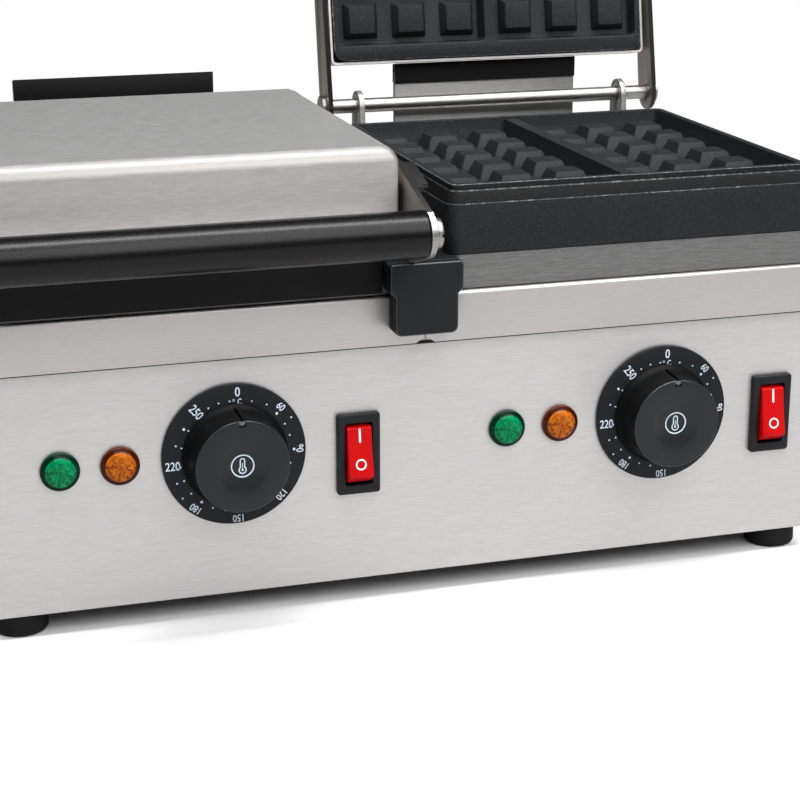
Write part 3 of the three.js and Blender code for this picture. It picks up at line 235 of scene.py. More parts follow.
def lampGlass(name, tones, centre):
    # the cut pattern behind the lens: spokes and rings of small facets round the lamp's own middle, with
    # painted glints: each facet and the fine rings of the rim take lighter or darker tones in place of the
    # light they catch
    material, tree, shader = newMaterial(name, tones["deep"], 0.2, Coat_Weight=0.06, Coat_Roughness=0.06,
                                         Specular_IOR_Level=0.1)
    middle = newNode(tree, "Mapping", {"Location": tuple(-c for c in centre), "Vector": ownCoords(tree)})
    parts = newNode(tree, "SeparateXYZ", {"Vector": middle.outputs["Vector"]})
    flat = newNode(tree, "CombineXYZ", {"X": parts.outputs["X"], "Y": parts.outputs["Z"]})
    length = newNode(tree, "VectorMath", {0: flat.outputs["Vector"]}, operation="LENGTH")
    radius = length.outputs["Value"]

    def combined(operation, *values):
        return newNode(tree, "Math", dict(enumerate(values)), operation=operation).outputs["Value"]

    turn = combined("MULTIPLY", combined("ARCTAN2", parts.outputs["Z"], parts.outputs["X"]),
                    lampCut["spokes"] / (2 * math.pi))
    ring = combined("DIVIDE", radius, lampCut["ringStep"])
    cell = newNode(tree, "CombineXYZ", {"X": combined("FLOOR", turn), "Y": combined("FLOOR", ring)})
    facet = newNode(tree, "TexWhiteNoise", noise_dimensions="2D")
    tree.links.new(cell.outputs["Vector"], facet.inputs["Vector"])
    chips = newNode(tree, "TexVoronoi", {"Scale": lampCut["cellScale"], "Vector": flat.outputs["Vector"]})
    glow = combined("ADD", combined("MULTIPLY", facet.outputs["Value"], lampCut["facetShare"]),
                    combined("MULTIPLY", chips.outputs["Distance"], lampCut["chipShare"]))
    pattern = ramped(tree, glow, [(0.12, tones["deep"]), (0.42, tones["mid"]), (0.85, tones["bright"])])
    fine = combined("SINE", combined("MULTIPLY", radius, 2 * math.pi / lampCut["lineStep"]))
    lines = ramped(tree, combined("MULTIPLY", fine, 0.5), [(0.2, tones["rim"]), (0.5, tones["line"])])

    def step(edge, below, above):
        blur = lampCut["blur"]
        blend = newNode(tree, "MapRange", {"From Min": edge - blur, "From Max": edge + blur, "Value": radius})
        return mixedColor(tree, blend.outputs["Result"], below, above)

    inner = step(lampCut["eye"], tones["mid"], pattern)
    band = step(lampCut["inner"], inner, tones["rim"])
    tree.links.new(step(lampCut["rim"], band, lines), shader.inputs["Base Color"])
    return material


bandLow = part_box("top_cover_left")[0].z
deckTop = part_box("riser_left")[0].z
# painted shade: under and behind the top covers' lower edge on the panel, black in the seam and notch, and a
# fainter line at the riser's foot
bandSeamShade = {"edge": bandLow, "direction": -1, "over": 0.0008, "line": 0.0009, "reach": 0.007, "depth": 0.88,
            "tone": 0.02}
deckSeamShade = {"edge": deckTop, "direction": 1, "over": 0.0004, "line": 0.0004, "reach": 0.004, "depth": 0.95,
            "tone": 0.4}
panelSteel = brushedSteel("panel_steel", (0.70, 0.684, 0.682), (0.622, 0.608, 0.606), 0.42, "alongX", 0.7,
                          bandSeamShade)
coverSteel = brushedSteel("cover_steel", (0.60, 0.579, 0.570), (0.545, 0.526, 0.518), 0.47, "alongX")
sideSteel = brushedSteel("side_steel", (0.62, 0.612, 0.604), (0.55, 0.543, 0.536), 0.42, "alongY")
# the lid's steel carries painted shade on its rounded top edge
lidSteel = brushedSteel("lid_steel", (0.80, 0.776, 0.760), (0.70, 0.679, 0.665), 0.46, "alongX", 0.62,
                        foldShade=0.30)
# painted shade: a darker copy of the lid's steel for its flat top face
lidTopShadeSteel = brushedSteel("lid_top_shade_steel", (0.64, 0.634, 0.632), (0.56, 0.555, 0.552), 0.40, "alongX", 0.76)
# painted shade: a dark copy of the steel for the risers, in place of the shade under the cast plates, with a
# painted line at the foot
riserShadeSteel = brushedSteel("riser_shade_steel", (0.25, 0.247, 0.245), (0.18, 0.178, 0.177), 0.40, "alongX", 0.78,
                         deckSeamShade)
bottomSteel = brushedSteel("bottom_steel", (0.30, 0.296, 0.293), (0.24, 0.237, 0.235), 0.45, "alongX")
bracketSteel = brushedSteel("bracket_steel", (0.40, 0.396, 0.392), (0.33, 0.326, 0.323), 0.38, "alongX")
armSteel = brushedSteel("arm_steel", (0.36, 0.33, 0.30), (0.28, 0.255, 0.23), 0.38, "alongY")
brightSteel = brushedSteel("bright_steel", (0.40, 0.395, 0.39), (0.32, 0.316, 0.312), 0.36, "alongX", 1.0)
castIron = castCoat("cast_iron_coat", (0.0088, 0.0095, 0.0108), (0.033, 0.0358, 0.041), 0.55, 1300.0, 0.30)
# painted shade: a darker copy of the cast coat for the sloping shoulder and lip, which face the lamps above
lipShadeIron = castCoat("lip_shade_iron_coat", (0.0045, 0.0047, 0.0052), (0.019, 0.020, 0.022), 0.60, 1300.0, 0.30, 0.2)
# partly rubbed wear, partly painted glint: a paler coat for the plates' rounded edge strips, in place of the
# light they catch
wornGlintIron = castCoat("worn_glint_iron_coat", (0.06, 0.063, 0.07), (0.26, 0.27, 0.30), 0.42, 420.0, 0.30)
guardCoat = castCoat("guard_coat", (0.0042, 0.0042, 0.0046), (0.011, 0.0115, 0.013), 0.50, 1500.0, 0.20, 0.14)
# painted sheen: a paler copy of the guard's coat for its turned lower edge
guardEdgeSheen = castCoat("guard_edge_sheen_coat", (0.045, 0.045, 0.046), (0.085, 0.086, 0.09), 0.40, 900.0, 0.20, 0.6)
# painted highlight: a paler plastic for the lines round the block's front edges and the knob's face
edgeGlintPlastic = mouldedPlastic("edge_glint_plastic", (0.030, 0.032, 0.036), 0.32)
handleCoat = castCoat("handle_coat", (0.0022, 0.0023, 0.0026), (0.0036, 0.0038, 0.0043), 0.29, 1900.0, 0.02,
                      0.27)
armRim = mouldedPlastic("arm_rim_coat", (0.011, 0.0105, 0.010), 0.42, 0.35)
blackPlastic = mouldedPlastic("black_plastic", (0.0095, 0.0105, 0.012), 0.46, 0.22)
dialPlastic = mouldedPlastic("dial_plastic", (0.0085, 0.0095, 0.0115), 0.48, 0.2)
knobPlastic = mouldedPlastic("knob_plastic", (0.009, 0.0105, 0.0125), 0.33, 0.36)
# painted shade: a near-black plastic for the block's sides and the knob's side wall and foot
sideShadePlastic = mouldedPlastic("side_shade_plastic", (0.0022, 0.0023, 0.0026), 0.5, 0.08)
rubberBlack = mouldedPlastic("rubber_black", (0.0045, 0.0045, 0.0048), 0.7, 0.25)
rockerRed = mouldedPlastic("rocker_red", (0.485, 0.0022, 0.0030), 0.36, 0.12)
printPale = mouldedPlastic("print_pale", (0.66, 0.75, 0.86), 0.5)
markWhite = mouldedPlastic("mark_white", (0.86, 0.84, 0.84), 0.45)
pointerGrey = mouldedPlastic("pointer_grey", (0.12, 0.125, 0.135), 0.4)
ceramicCream = mouldedPlastic("ceramic_cream", (0.70, 0.66, 0.58), 0.5)
heaterSteel = brushedSteel("heater_steel", (0.22, 0.20, 0.18), (0.17, 0.155, 0.14), 0.5, "alongX")
lampTones = {
    "green": {"deep": (0.0, 0.055, 0.018), "mid": (0.0, 0.135, 0.046), "bright": (0.0, 0.28, 0.105),
              "rim": (0.0, 0.018, 0.009), "line": (0.0, 0.075, 0.030)},
    "orange": {"deep": (0.11, 0.022, 0.001), "mid": (0.31, 0.062, 0.003), "bright": (0.58, 0.155, 0.010),
               "rim": (0.045, 0.007, 0.002), "line": (0.23, 0.038, 0.002)},
}
print("materials made")


# Helpers for pieces drawn in millimetres

def fixNormals(bm):
    bmesh.ops.recalc_face_normals(bm, faces=bm.faces)


def moveBm(bm, place):
    bmesh.ops.transform(bm, matrix=place, verts=bm.verts)


def softenEdges(bm, limit):
    bm.normal_update()
    for face in bm.faces:
        face.smooth = True
    for edge in bm.edges:
        edge.smooth = len(edge.link_faces) == 2 and edge.calc_face_angle(0) < math.radians(limit)


def bevelEdges(bm, edges, width, segments, clamp=False):
    bmesh.ops.bevel(bm, geom=edges, offset=width, offset_type="OFFSET", affect="EDGES", segments=segments,
                    profile=0.5, material=-1, clamp_overlap=clamp)


def bevelSharp(bm, width, segments=2, limit=35.0, keep=None):
    bm.normal_update()
    sharp = [e for e in bm.edges if len(e.link_faces) == 2 and e.calc_face_angle(0) > math.radians(limit)
             and (keep is None or keep(e))]
    if sharp:
        bevelEdges(bm, sharp, width, segments, True)


def newObject(name, data):
    made = bpy.data.objects.new(name, data)
    bpy.context.scene.collection.objects.link(made)
    return made


def meshObject(bm, name):
    mesh = bpy.data.meshes.new(name)
    bm.to_mesh(mesh)
    bm.free()
    return newObject(name, mesh)


def finishPiece(bm, name, material, body, nodes=(), place=None, smoothLimit=38.0):
    softenEdges(bm, smoothLimit)
    moveBm(bm, toFrame @ (place or Matrix()))
    piece = meshObject(bm, name)
    piece.data.materials.append(material)
    if nodes:
        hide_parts(*nodes)
    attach(piece, body)
    return piece


def boxBm(x0, x1, y0, y1, z0, z1):
    bm = bmesh.new()
    size = Matrix.Diagonal((x1 - x0, y1 - y0, z1 - z0, 1))
    middle = shift((x0 + x1) / 2, (y0 + y1) / 2, (z0 + z1) / 2)
    bmesh.ops.create_cube(bm, size=1, matrix=middle @ size)
    return bm


def centredBox(wide, tall, y0, y1):
    return boxBm(-wide / 2, wide / 2, y0, y1, -tall / 2, tall / 2)


def spinBm(profile, steps=96, axis="Y"):
    # profile: (radius, distance along the axis); closed where it starts and ends on the axis
    bm = bmesh.new()
    spots = {"X": lambda r, along: (along, r, 0), "Y": lambda r, along: (r, along, 0),
             "Z": lambda r, along: (r, 0, along)}
    verts = [bm.verts.new(spots[axis](radius, along)) for radius, along in profile]
    edges = [bm.edges.new(pair) for pair in zip(verts, verts[1:])]
    direction = {"X": (1, 0, 0), "Y": (0, 1, 0), "Z": (0, 0, 1)}[axis]
    bmesh.ops.spin(bm, geom=verts + edges, cent=(0, 0, 0), axis=direction, angle=2 * math.pi,
                   steps=steps, use_merge=True)
    bmesh.ops.remove_doubles(bm, verts=bm.verts, dist=0.0005)
    fixNormals(bm)
    return bm


def pulledVerts(pulled):
    return [v for v in pulled["geom"] if isinstance(v, bmesh.types.BMVert)]


def outlineBm(points, depth, plane="XZ"):
    # a flat outline (first, second) pulled out by depth: XZ goes into the machine, YZ to the right, XY up
    bm = bmesh.new()
    place = {"XZ": lambda a, b: (a, 0, b), "YZ": lambda a, b: (0, a, b), "XY": lambda a, b: (a, b, 0)}[plane]
    push = {"XZ": (0, depth, 0), "YZ": (depth, 0, 0), "XY": (0, 0, depth)}[plane]
    face = bm.faces.new([bm.verts.new(place(a, b)) for a, b in points])
    pulled = bmesh.ops.extrude_face_region(bm, geom=[face])
    bmesh.ops.translate(bm, vec=push, verts=pulledVerts(pulled))
    fixNormals(bm)
    return bm


def quarterArc(x, y, radius, start, steps=6):
    turns = [math.radians(start + 90 * i / steps) for i in range(steps + 1)]
    return [(x + radius * math.cos(turn), y + radius * math.sin(turn)) for turn in turns]


def roundedPoints(x0, x1, y0, y1, radius, steps=6):
    corners = ((x1 - radius, y0 + radius, -90), (x1 - radius, y1 - radius, 0),
               (x0 + radius, y1 - radius, 90), (x0 + radius, y0 + radius, 180))
    return [point for x, y, start in corners for point in quarterArc(x, y, radius, start, steps)]


def loftBm(rings, paleSpans=(), third=()):
    # closed body through rings of points that run the same way; the spans named in the second list get the
    # second material, and those in the third list the third one
    bm = bmesh.new()
    loops = [[bm.verts.new(point) for point in ring] for ring in rings]
    for span, (low, high) in enumerate(zip(loops, loops[1:])):
        for i in range(len(low)):
            j = (i + 1) % len(low)
            face = bm.faces.new((low[i], low[j], high[j], high[i]))
            face.material_index = 1 if span in paleSpans else 2 if span in third else 0
    bm.faces.new(list(reversed(loops[0])))
    bm.faces.new(loops[-1])
    fixNormals(bm)
    return bm


def plateRing(x0, x1, y0, y1, radius, z, steps=8):
    return [(x, y, z) for x, y in roundedPoints(x0, x1, y0, y1, max(radius, 0.2), steps)]


def addTo(bm, other, place=None):
    # joins a second mesh to the first, moved when a place is given
    mesh = bpy.data.meshes.new("scratch")
    if place:
        moveBm(other, place)
    other.to_mesh(mesh)
    other.free()
    bm.from_mesh(mesh)
    bpy.data.meshes.remove(mesh)


def cutOut(bm, cutter):
    # takes the cutter's shape out of the piece
    whole, tool = meshObject(bm, "scratch"), meshObject(cutter, "scratch")
    cut = whole.modifiers.new("cut", "BOOLEAN")
    cut.operation = "DIFFERENCE"
    cut.solver = "EXACT"
    cut.object = tool
    depsgraph = bpy.context.evaluated_depsgraph_get()
    result = bmesh.new()
    result.from_mesh(whole.evaluated_get(depsgraph).to_mesh())
    for obj in (whole, tool):
        mesh = obj.data
        bpy.data.objects.remove(obj)
        bpy.data.meshes.remove(mesh)
    return result


def nodeCopy(node, name, material, body, bevel, segments=2, limit=35.0, smoothLimit=38.0):
    # a CAD part's shape with its triangles merged and its sharp edges softened
    bm = bmesh.new()
    bm.from_mesh(frame["nodes"][node].data)
    moveBm(bm, fromFrame)
    bmesh.ops.remove_doubles(bm, verts=bm.verts, dist=0.002)
    bmesh.ops.dissolve_limit(bm, angle_limit=math.radians(0.6), verts=bm.verts, edges=bm.edges)
    bevelSharp(bm, bevel, segments, limit)
    return finishPiece(bm, name, material, body, [node], smoothLimit=smoothLimit)


def paintFaces(piece, materials, choose):
    # choose gets a face's middle and normal in drawn millimetres and answers with a material's place
    for material in materials:
        piece.data.materials.append(material)
    for face in piece.data.polygons:
        face.material_index = choose(fromFrame @ face.center, face.normal)


def paintNode(node, material):
    piece = frame["nodes"][node]
    piece.data.materials.clear()
    piece.data.materials.append(material)


# Housing

for node, name, material, slot in (("front_panel", "panel_sheet", panelSteel, "body_steel"),
                                   ("rear_shell", "shell_sheet", sideSteel, "body_steel"),
                                   ("bottom_sheet", "bottom_tray", bottomSteel, "dark_steel")):
    nodeCopy(node, name, material, "body", 0.15, 1)
for side in stations:
    nodeCopy("top_cover_" + side, "cover_sheet_" + side, coverSteel, "body", 0.12,
             limit=50.0, smoothLimit=50.0)
    nodeCopy("riser_" + side, "riser_frame_" + side, riserShadeSteel, "body", 0.2, 1)
    nodeCopy("hinge_bracket_" + side, "bracket_" + side, bracketSteel, "body", 0.3)
    nodeCopy("stop_pad_" + side, "stop_cap_" + side, rubberBlack, "body", 0.3)
    nodeCopy("thermostat_" + side, "thermostat_case_" + side, ceramicCream, "body", 0.2, 1)
    paintNode("lower_heater_" + side, heaterSteel)
    paintNode("upper_heater_" + side, heaterSteel)
    paintNode("spindle_" + side, brightSteel)
nodeCopy("terminal_block", "terminals", ceramicCream, "body", 0.3)
nodeCopy("cord_gland", "gland", blackPlastic, "body", 0.4)
for place in ("left", "middle", "right"):
    nodeCopy("shell_screw_" + place, "screw_" + place, brightSteel, "body", 0.2)
print("housing dressed")

# Rubber feet

foot = {"round": 2.6, "recess": 2.6, "recessRadius": 5.0, "lip": 0.4, "gap": 0.4,
        "neck": [(0.3, 1.0), (0.9, 0.4)], "steps": 64}


def makeFoot(node):
    low, high = drawnBox(node)
    outer, floor, soft = (high.x - low.x) / 2, low.z, foot["round"]
    inner, lip, roof = foot["recessRadius"], foot["lip"], low.z + foot["recess"]
    profile = [(0, roof), (inner, roof), (inner, floor + lip), (inner + lip, floor)]
    profile += quarterArc(outer - soft, floor + soft, soft, -90)
    profile += [(outer - inset, -drop) for inset, drop in foot["neck"]]
    profile.append((0, -foot["gap"]))
    finishPiece(spinBm(profile, foot["steps"], "Z"), "rubber_" + node, rubberBlack, "body", [node],
                shift((low.x + high.x) / 2, (low.y + high.y) / 2, 0))


for place in ("front_left", "front_right", "rear_left", "rear_right"):
    makeFoot("foot_" + place)
print("feet made")

# Cast plates

lowerLow, lowerHigh = drawnBox("lower_plate_left")
upperLow, upperHigh = drawnBox("upper_plate_left")
castPlates = {"corner": 7.0, "shoulder": 24.1, "foot": 30.0, "inset": 2.6, "draft": 0.3, "soft": 0.55,
              "rim": 7.0, "web": 7.0, "webDrop": 1.0, "cavityDraft": 1.2, "cavityCorner": 3.0,
              "lowerDepth": 12.0, "lowerPeg": 7.0, "upperDepth": 8.0, "upperPeg": 5.5, "columns": 3,
              "rows": 6, "channel": 8.0, "pegDraft": 3.0, "pegCorner": 1.0, "sink": 0.5, "floor": 6.0,
              "skirt": 6.0}
plateHalf = (lowerHigh.x - lowerLow.x) / 2
plateDeep = lowerHigh.y - lowerLow.y
cavityWide = plateHalf - castPlates["rim"] - castPlates["web"] / 2
cavityLong = plateDeep - 2 * castPlates["rim"]
cavityPlaces = [side * (cavityWide + castPlates["web"]) / 2 for side in (-1, 1)]


def cavityCutter(x, depth):
    # the hollow of one waffle, mouth up at height zero, with a rounded mouth and floor
    p, c = castPlates, castPlates["soft"]
    w, h, middle = cavityWide / 2, cavityLong / 2, plateDeep / 2
    steps = [(c, 1.0), (c, 0.0), (0.45 * c, -0.1 * c), (0.12 * c, -0.4 * c), (0.0, -c)]
    steps += [(-p["cavityDraft"], -depth + 1.0), (-p["cavityDraft"] - 0.3, -depth + 0.3),
              (-p["cavityDraft"] - 1.0, -depth)]
    return loftBm([plateRing(x - w - out, x + w + out, middle - h - out, middle + h + out,
                             p["cavityCorner"] + out, z) for out, z in steps])


def pegBm(x, y, depth, high):
    p = castPlates
    w = (cavityWide / p["columns"] - p["channel"]) / 2
    h = (cavityLong / p["rows"] - p["channel"]) / 2
    top, low = -depth + high, -depth - p["sink"]
    steps = [(0, low), (p["pegDraft"] - 0.25, top - 0.55), (p["pegDraft"] + 0.05, top - 0.12),
             (p["pegDraft"] + 0.6, top)]
    return loftBm([plateRing(x - w + inset, x + w - inset, y - h + inset, y + h - inset, p["pegCorner"], z, 3)
                   for inset, z in steps])


def cutGrid(body, depth, high, place):
    p = castPlates
    for x in cavityPlaces:
        cutter = cavityCutter(x, depth)
        moveBm(cutter, place)
        fixNormals(cutter)
        body = cutOut(body, cutter)
    for x in cavityPlaces:
        for column in range(p["columns"]):
            for row in range(p["rows"]):
                pegX = x + (column - (p["columns"] - 1) / 2) * cavityWide / p["columns"]
                pegY = plateDeep / 2 + (row - (p["rows"] - 1) / 2) * cavityLong / p["rows"]
                addTo(body, pegBm(pegX, pegY, depth, high), place)
    fixNormals(body)
    return body


def lowerCasting(side):
    p, c = castPlates, castPlates["soft"]
    low, top = lowerLow.z, lowerHigh.z
    shoulder, step = low + p["shoulder"], low + p["foot"]
    lean = p["inset"] / (p["foot"] - p["shoulder"])
    # inset and height from the underside up: straight, leaning in above the shoulder, then the lip
    steps = [(c, low), (0.3 * c, low + 0.3 * c), (0, low + c), (0, shoulder - 0.5), (0.06, shoulder - 0.2),
             (0.12 + 0.2 * lean, shoulder + 0.25), (0.6 * lean, shoulder + 0.65),
             (p["inset"] - 0.3 * lean, step - 0.3), (p["inset"], step), (p["inset"] + 0.02, step + 0.35)]
    lip = p["inset"] + p["draft"]
    steps += [(lip, top - c), (lip + 0.13 * c, top - 0.5 * c), (lip + 0.5 * c, top - 0.13 * c),
              (lip + c, top)]
    # edge strips get the worn-and-glint coat; the sloping shoulder and the lip get the painted-shade coat
    paleSpans, shadedLip = (4, 7, 8, 11, 12), (5, 6, 9, 10)
    body = loftBm([plateRing(-plateHalf + i, plateHalf - i, i, plateDeep - i, p["corner"] - i, z)
                   for i, z in steps], paleSpans, shadedLip)
    web = boxBm(-p["web"], p["web"], p["rim"], plateDeep - p["rim"], top - p["webDrop"], top + 2)
    body = cutOut(body, web)
    skirt = p["skirt"]
    under = loftBm([plateRing(-plateHalf + skirt, plateHalf - skirt, skirt, plateDeep - skirt,
                              p["corner"] - skirt, z) for z in (low - 2, top - p["lowerDepth"] - p["floor"])])
    body = cutOut(body, under)
    body = cutGrid(body, p["lowerDepth"], p["lowerPeg"], shift(0, 0, top))
    piece = finishPiece(body, "lower_casting_" + side, castIron, "body", ["lower_plate_" + side],
                        shift(stations[side], 0, 0), 36.0)
    piece.data.materials.append(wornGlintIron)
    piece.data.materials.append(lipShadeIron)


def upperCasting(side):
    p, c = castPlates, castPlates["soft"]
    half = (upperHigh.x - upperLow.x) / 2
    low, top = upperLow.z, upperHigh.z
    steps = [(c, low), (0.5 * c, low + 0.13 * c), (0.13 * c, low + 0.5 * c), (0, low + c), (0, top - c),
             (c, top)]
    body = loftBm([plateRing(-half + i, half - i, upperLow.y + i, upperHigh.y - i, p["corner"] - i, z)
                   for i, z in steps], (0, 1, 2))
    down = shift(0, 0, low) @ Matrix.Diagonal((1, 1, -1, 1))
    body = cutGrid(body, p["upperDepth"], p["upperPeg"], down)
    piece = finishPiece(body, "upper_casting_" + side, castIron, "lid_" + side, ["upper_plate_" + side],
                        lidPlace[side], 36.0)
    piece.data.materials.append(wornGlintIron)


for side in stations:
    lowerCasting(side)
    upperCasting(side)
print("cast plates made")

# Lids

lidLow, lidHigh = drawnBox("lid_shell_left")
lid = {"half": (lidHigh.x - lidLow.x) / 2, "front": lidLow.y, "back": lidHigh.y, "top": lidHigh.z,
       "side": 193.8, "apron": lidLow.z, "round": 7.4, "corner": 3.0, "wall": 1.2, "foldShadeMiddle": 42.0,
       "foldShadeSpread": 62.0, "near": 0.01, "frontZone": 10, "backZone": 180}
armLook = {"brightFront": -25.0, "flat": 0.9}


def armFinish(middle, normal, side):
    # bare metal on the flat sides, a dark rim, and a bright rounded end at the grip
    if abs(normal.x) > armLook["flat"]:
        return 0
    closed = lidPlace[side].inverted() @ middle
    return 2 if closed.y < armLook["brightFront"] else 1


guardLow, guardHigh = drawnBox("guard_strip_left")
guard = {"corner": 1.5, "edge": 0.9}


def makeGuard(side):
    # flat strip under the lid with a turned lower edge
    c, (front, back) = guard["edge"], (guardLow.y, guardHigh.y)
    span = [guardLow.x - stations["left"], guardHigh.x - stations["left"]]
    if side == "right":
        span = [-span[1], -span[0]]
    low, high, r = guardLow.z, guardHigh.z, guard["corner"]
    rings = []
    for inset, y in ((c, front), (0.45 * c, front + 0.2 * c), (0.1 * c, front + 0.6 * c), (0, front + c),
                     (0, back)):
        rings.append([(x, y, z + (inset if z < (low + high) / 2 else 0))
                      for x, z in roundedPoints(span[0], span[1], low, high + r, r, 4) if z < high] +
                     [(span[1], y, high), (span[0], y, high)])
    for ring in rings:
        middle = Vector(((span[0] + span[1]) / 2, (low + high) / 2))
        ring.sort(key=lambda point: math.atan2(point[2] - middle.y, point[0] - middle.x))
    # painted sheen: the turned lower edge gets a paler coat, in place of light from the deck below
    piece = finishPiece(loftBm(rings, (0, 1)), "guard_" + side, guardCoat, "lid_" + side,
                        ["guard_strip_" + side], lidPlace[side])
    piece.data.materials.append(guardEdgeSheen)


def makeLid(side):
    bm = boxBm(-lid["half"], lid["half"], lid["front"], lid["back"], lid["side"], lid["top"])
    near = lid["near"]
    top = [e for e in bm.edges if all(v.co.z > lid["top"] - near for v in e.verts)]
    bevelEdges(bm, top, lid["round"], 10)
    bm.normal_update()
    corners = [e for e in bm.edges if e.calc_face_angle(0) > math.radians(24)
               and max(abs(v.co.x) for v in e.verts) > lid["half"] - lid["round"]
               and any(v.co.z > lid["side"] + near for v in e.verts)
               and (min(v.co.y for v in e.verts) < lid["frontZone"]
                    or max(v.co.y for v in e.verts) > lid["backZone"])]
    bevelEdges(bm, corners, lid["corner"], 4)
    bmesh.ops.delete(bm, geom=[f for f in bm.faces if all(v.co.z < lid["side"] + near for v in f.verts)],
                     context="FACES_ONLY")
    frontEnd = lid["front"] + lid["corner"] + near
    low = [e for e in bm.edges if e.is_boundary and all(v.co.y < frontEnd for v in e.verts)]
    pulled = bmesh.ops.extrude_edge_only(bm, edges=low)
    bmesh.ops.translate(bm, vec=(0, 0, lid["apron"] - lid["side"]), verts=pulledVerts(pulled))
    fixNormals(bm)
    bmesh.ops.solidify(bm, geom=bm.faces, thickness=lid["wall"])
    # painted shade: 'bend' is highest where the rounded top edge faces about 42° up, and the lid's steel
    # darkens it there
    bend = bm.verts.layers.float.new("bend")
    bm.normal_update()
    for vert in bm.verts:
        rise = math.degrees(math.asin(max(-1.0, min(1.0, vert.normal.z))))
        if vert.co.z > lid["top"] - lid["round"] - 0.1:
            vert[bend] = max(0.0, 1 - abs(rise - lid["foldShadeMiddle"]) / lid["foldShadeSpread"])
    sheet = finishPiece(bm, "lid_sheet_" + side, lidSteel, "lid_" + side, ["lid_shell_" + side],
                        lidPlace[side], 30.0)
    # the flat top faces get the darker painted-shade copy of the lid's steel
    turned = lidPlace[side].to_3x3().inverted()
    paintFaces(sheet, [lidTopShadeSteel], lambda middle, normal, t=turned: 1 if (t @ normal).z > 0.98 else 0)
    makeGuard(side)
    for which in ("inner", "outer"):
        arm = nodeCopy("arm_%s_%s" % (which, side), "%s_arm_%s" % (which, side), armSteel, "lid_" + side,
                       0.3)
        paintFaces(arm, [armRim, brightSteel], lambda middle, normal, s=side: armFinish(middle, normal, s))


# Handle with its tie rod, washers and slotted nuts with rounded ends, and the hinge rod

gripLow, gripHigh = drawnBox("handle_left")
rodLow, rodHigh = drawnBox("handle_rod_left")
hingeLow, hingeHigh = drawnBox("hinge_rod_left")
handle = {"radius": (gripHigh.z - gripLow.z) / 2 - 0.05, "half": (gripHigh.x - gripLow.x) / 2, "round": 0.9,
          "y": (gripLow.y + gripHigh.y) / 2, "z": (gripLow.z + gripHigh.z) / 2, "bore": 3.6,
          "end": (rodHigh.x - rodLow.x) / 2, "washer": (rodHigh.z - rodLow.z) / 2 - 0.05, "washerThick": 1.2,
          "nut": 7.0, "nutHigh": 3.0, "dome": 1.0, "rod": 3, "edge": 0.3, "slot": 1.6, "slotDeep": 1.3,
          "hingeEnd": (hingeHigh.x - hingeLow.x) / 2, "hingeHead": 2.4, "hingeRod": 4,
          "hingeRadius": (hingeHigh.z - hingeLow.z) / 2}


def mirroredAlong(profile):
    return [(radius, -along) for radius, along in reversed(profile)]


def makeHandle(side):
    radius, half, soft = handle["radius"], handle["half"], handle["round"]
    at = lidPlace[side] @ shift(0, handle["y"], handle["z"])
    profile = [(handle["bore"], half), *reversed(quarterArc(radius - soft, half - soft, soft, 0, 4))]
    finishPiece(spinBm(profile + mirroredAlong(profile), 96, "X"), "grip_" + side, handleCoat, "lid_" + side,
                ["handle_" + side], at)
    washer, nut, end = handle["washer"], handle["nut"], handle["end"]
    nutStart = end - handle["nutHigh"]
    washerStart = nutStart - handle["washerThick"]
    edge, dome = handle["edge"], handle["dome"]
    head = [(handle["rod"], washerStart), (washer - edge, washerStart), (washer, washerStart + edge),
            (washer, nutStart - edge), (washer - edge, nutStart), (nut, nutStart), (nut, nutStart + dome),
            (nut, end - dome), (nut - edge, end - edge), (nut - dome, end), (0, end)]
    bm = spinBm(mirroredAlong(head) + head, 64, "X")
    for sign in (-1, 1):
        span = sorted((sign * (end - handle["slotDeep"]), sign * (end + 1)))
        slot = boxBm(*span, -nut - 1, nut + 1, -handle["slot"] / 2, handle["slot"] / 2)
        bm = cutOut(bm, slot)
    finishPiece(bm, "tie_rod_" + side, brightSteel, "lid_" + side, ["handle_rod_" + side], at)
    end, radius = handle["hingeEnd"], handle["hingeRadius"]
    inside = end - handle["hingeHead"]
    rod = [(handle["hingeRod"], inside), (radius, inside), (radius, end - edge), (radius - edge, end),
           (0, end)]
    finishPiece(spinBm(mirroredAlong(rod) + rod, 48, "X"), "pivot_rod_" + side, brightSteel, "lid_" + side,
                ["hinge_rod_" + side], lidPlace[side] @ Matrix.Translation(hinge))


for side in stations:
    makeLid(side)
    makeHandle(side)
print("lids and handles made")

# Black block in the middle of the front

capLow, capHigh = drawnBox("block_cap")
baseLow, baseHigh = drawnBox("block_base")
block = {"lower": 31.1, "shoulderTop": 13.2, "shoulder": 2.7, "topRadius": 2.0, "lowRadius": 3.2, "soft": 1.1,
         "baseSoft": 0.6, "sideFrom": 0.8, "edgeTo": -0.25, "capEdgeFrom": -0.93, "baseEdgeFrom": -1.1}


def blockRing(inset, y, box):
    # the T outline: wide above, narrow below, with a sloping shoulder
    low, high = box
    middle, wide, narrow = (low.x + high.x) / 2, (high.x - low.x) / 2 - inset, block["lower"] / 2 - inset
    if box[0] is capLow:
        narrow = (block["lower"] - (baseHigh.x - baseLow.x) + (high.x - low.x)) / 2 - inset
    bottom, top = low.z + inset, high.z - inset
    shoulder = high.z - block["shoulderTop"] + inset * 0.4
    upper, lower = block["topRadius"], block["lowRadius"]
    points = quarterArc(middle + narrow - lower, bottom + lower, lower, -90)
    points += [(middle + narrow, shoulder - block["shoulder"]), (middle + wide, shoulder)]
    points += quarterArc(middle + wide - upper, top - upper, upper, 0)
    points += quarterArc(middle - wide + upper, top - upper, upper, 90)
    points += [(middle - wide, shoulder), (middle - narrow, shoulder - block["shoulder"])]
    points += quarterArc(middle - narrow + lower, bottom + lower, lower, 180)
    return [(x, y, z) for x, z in points]


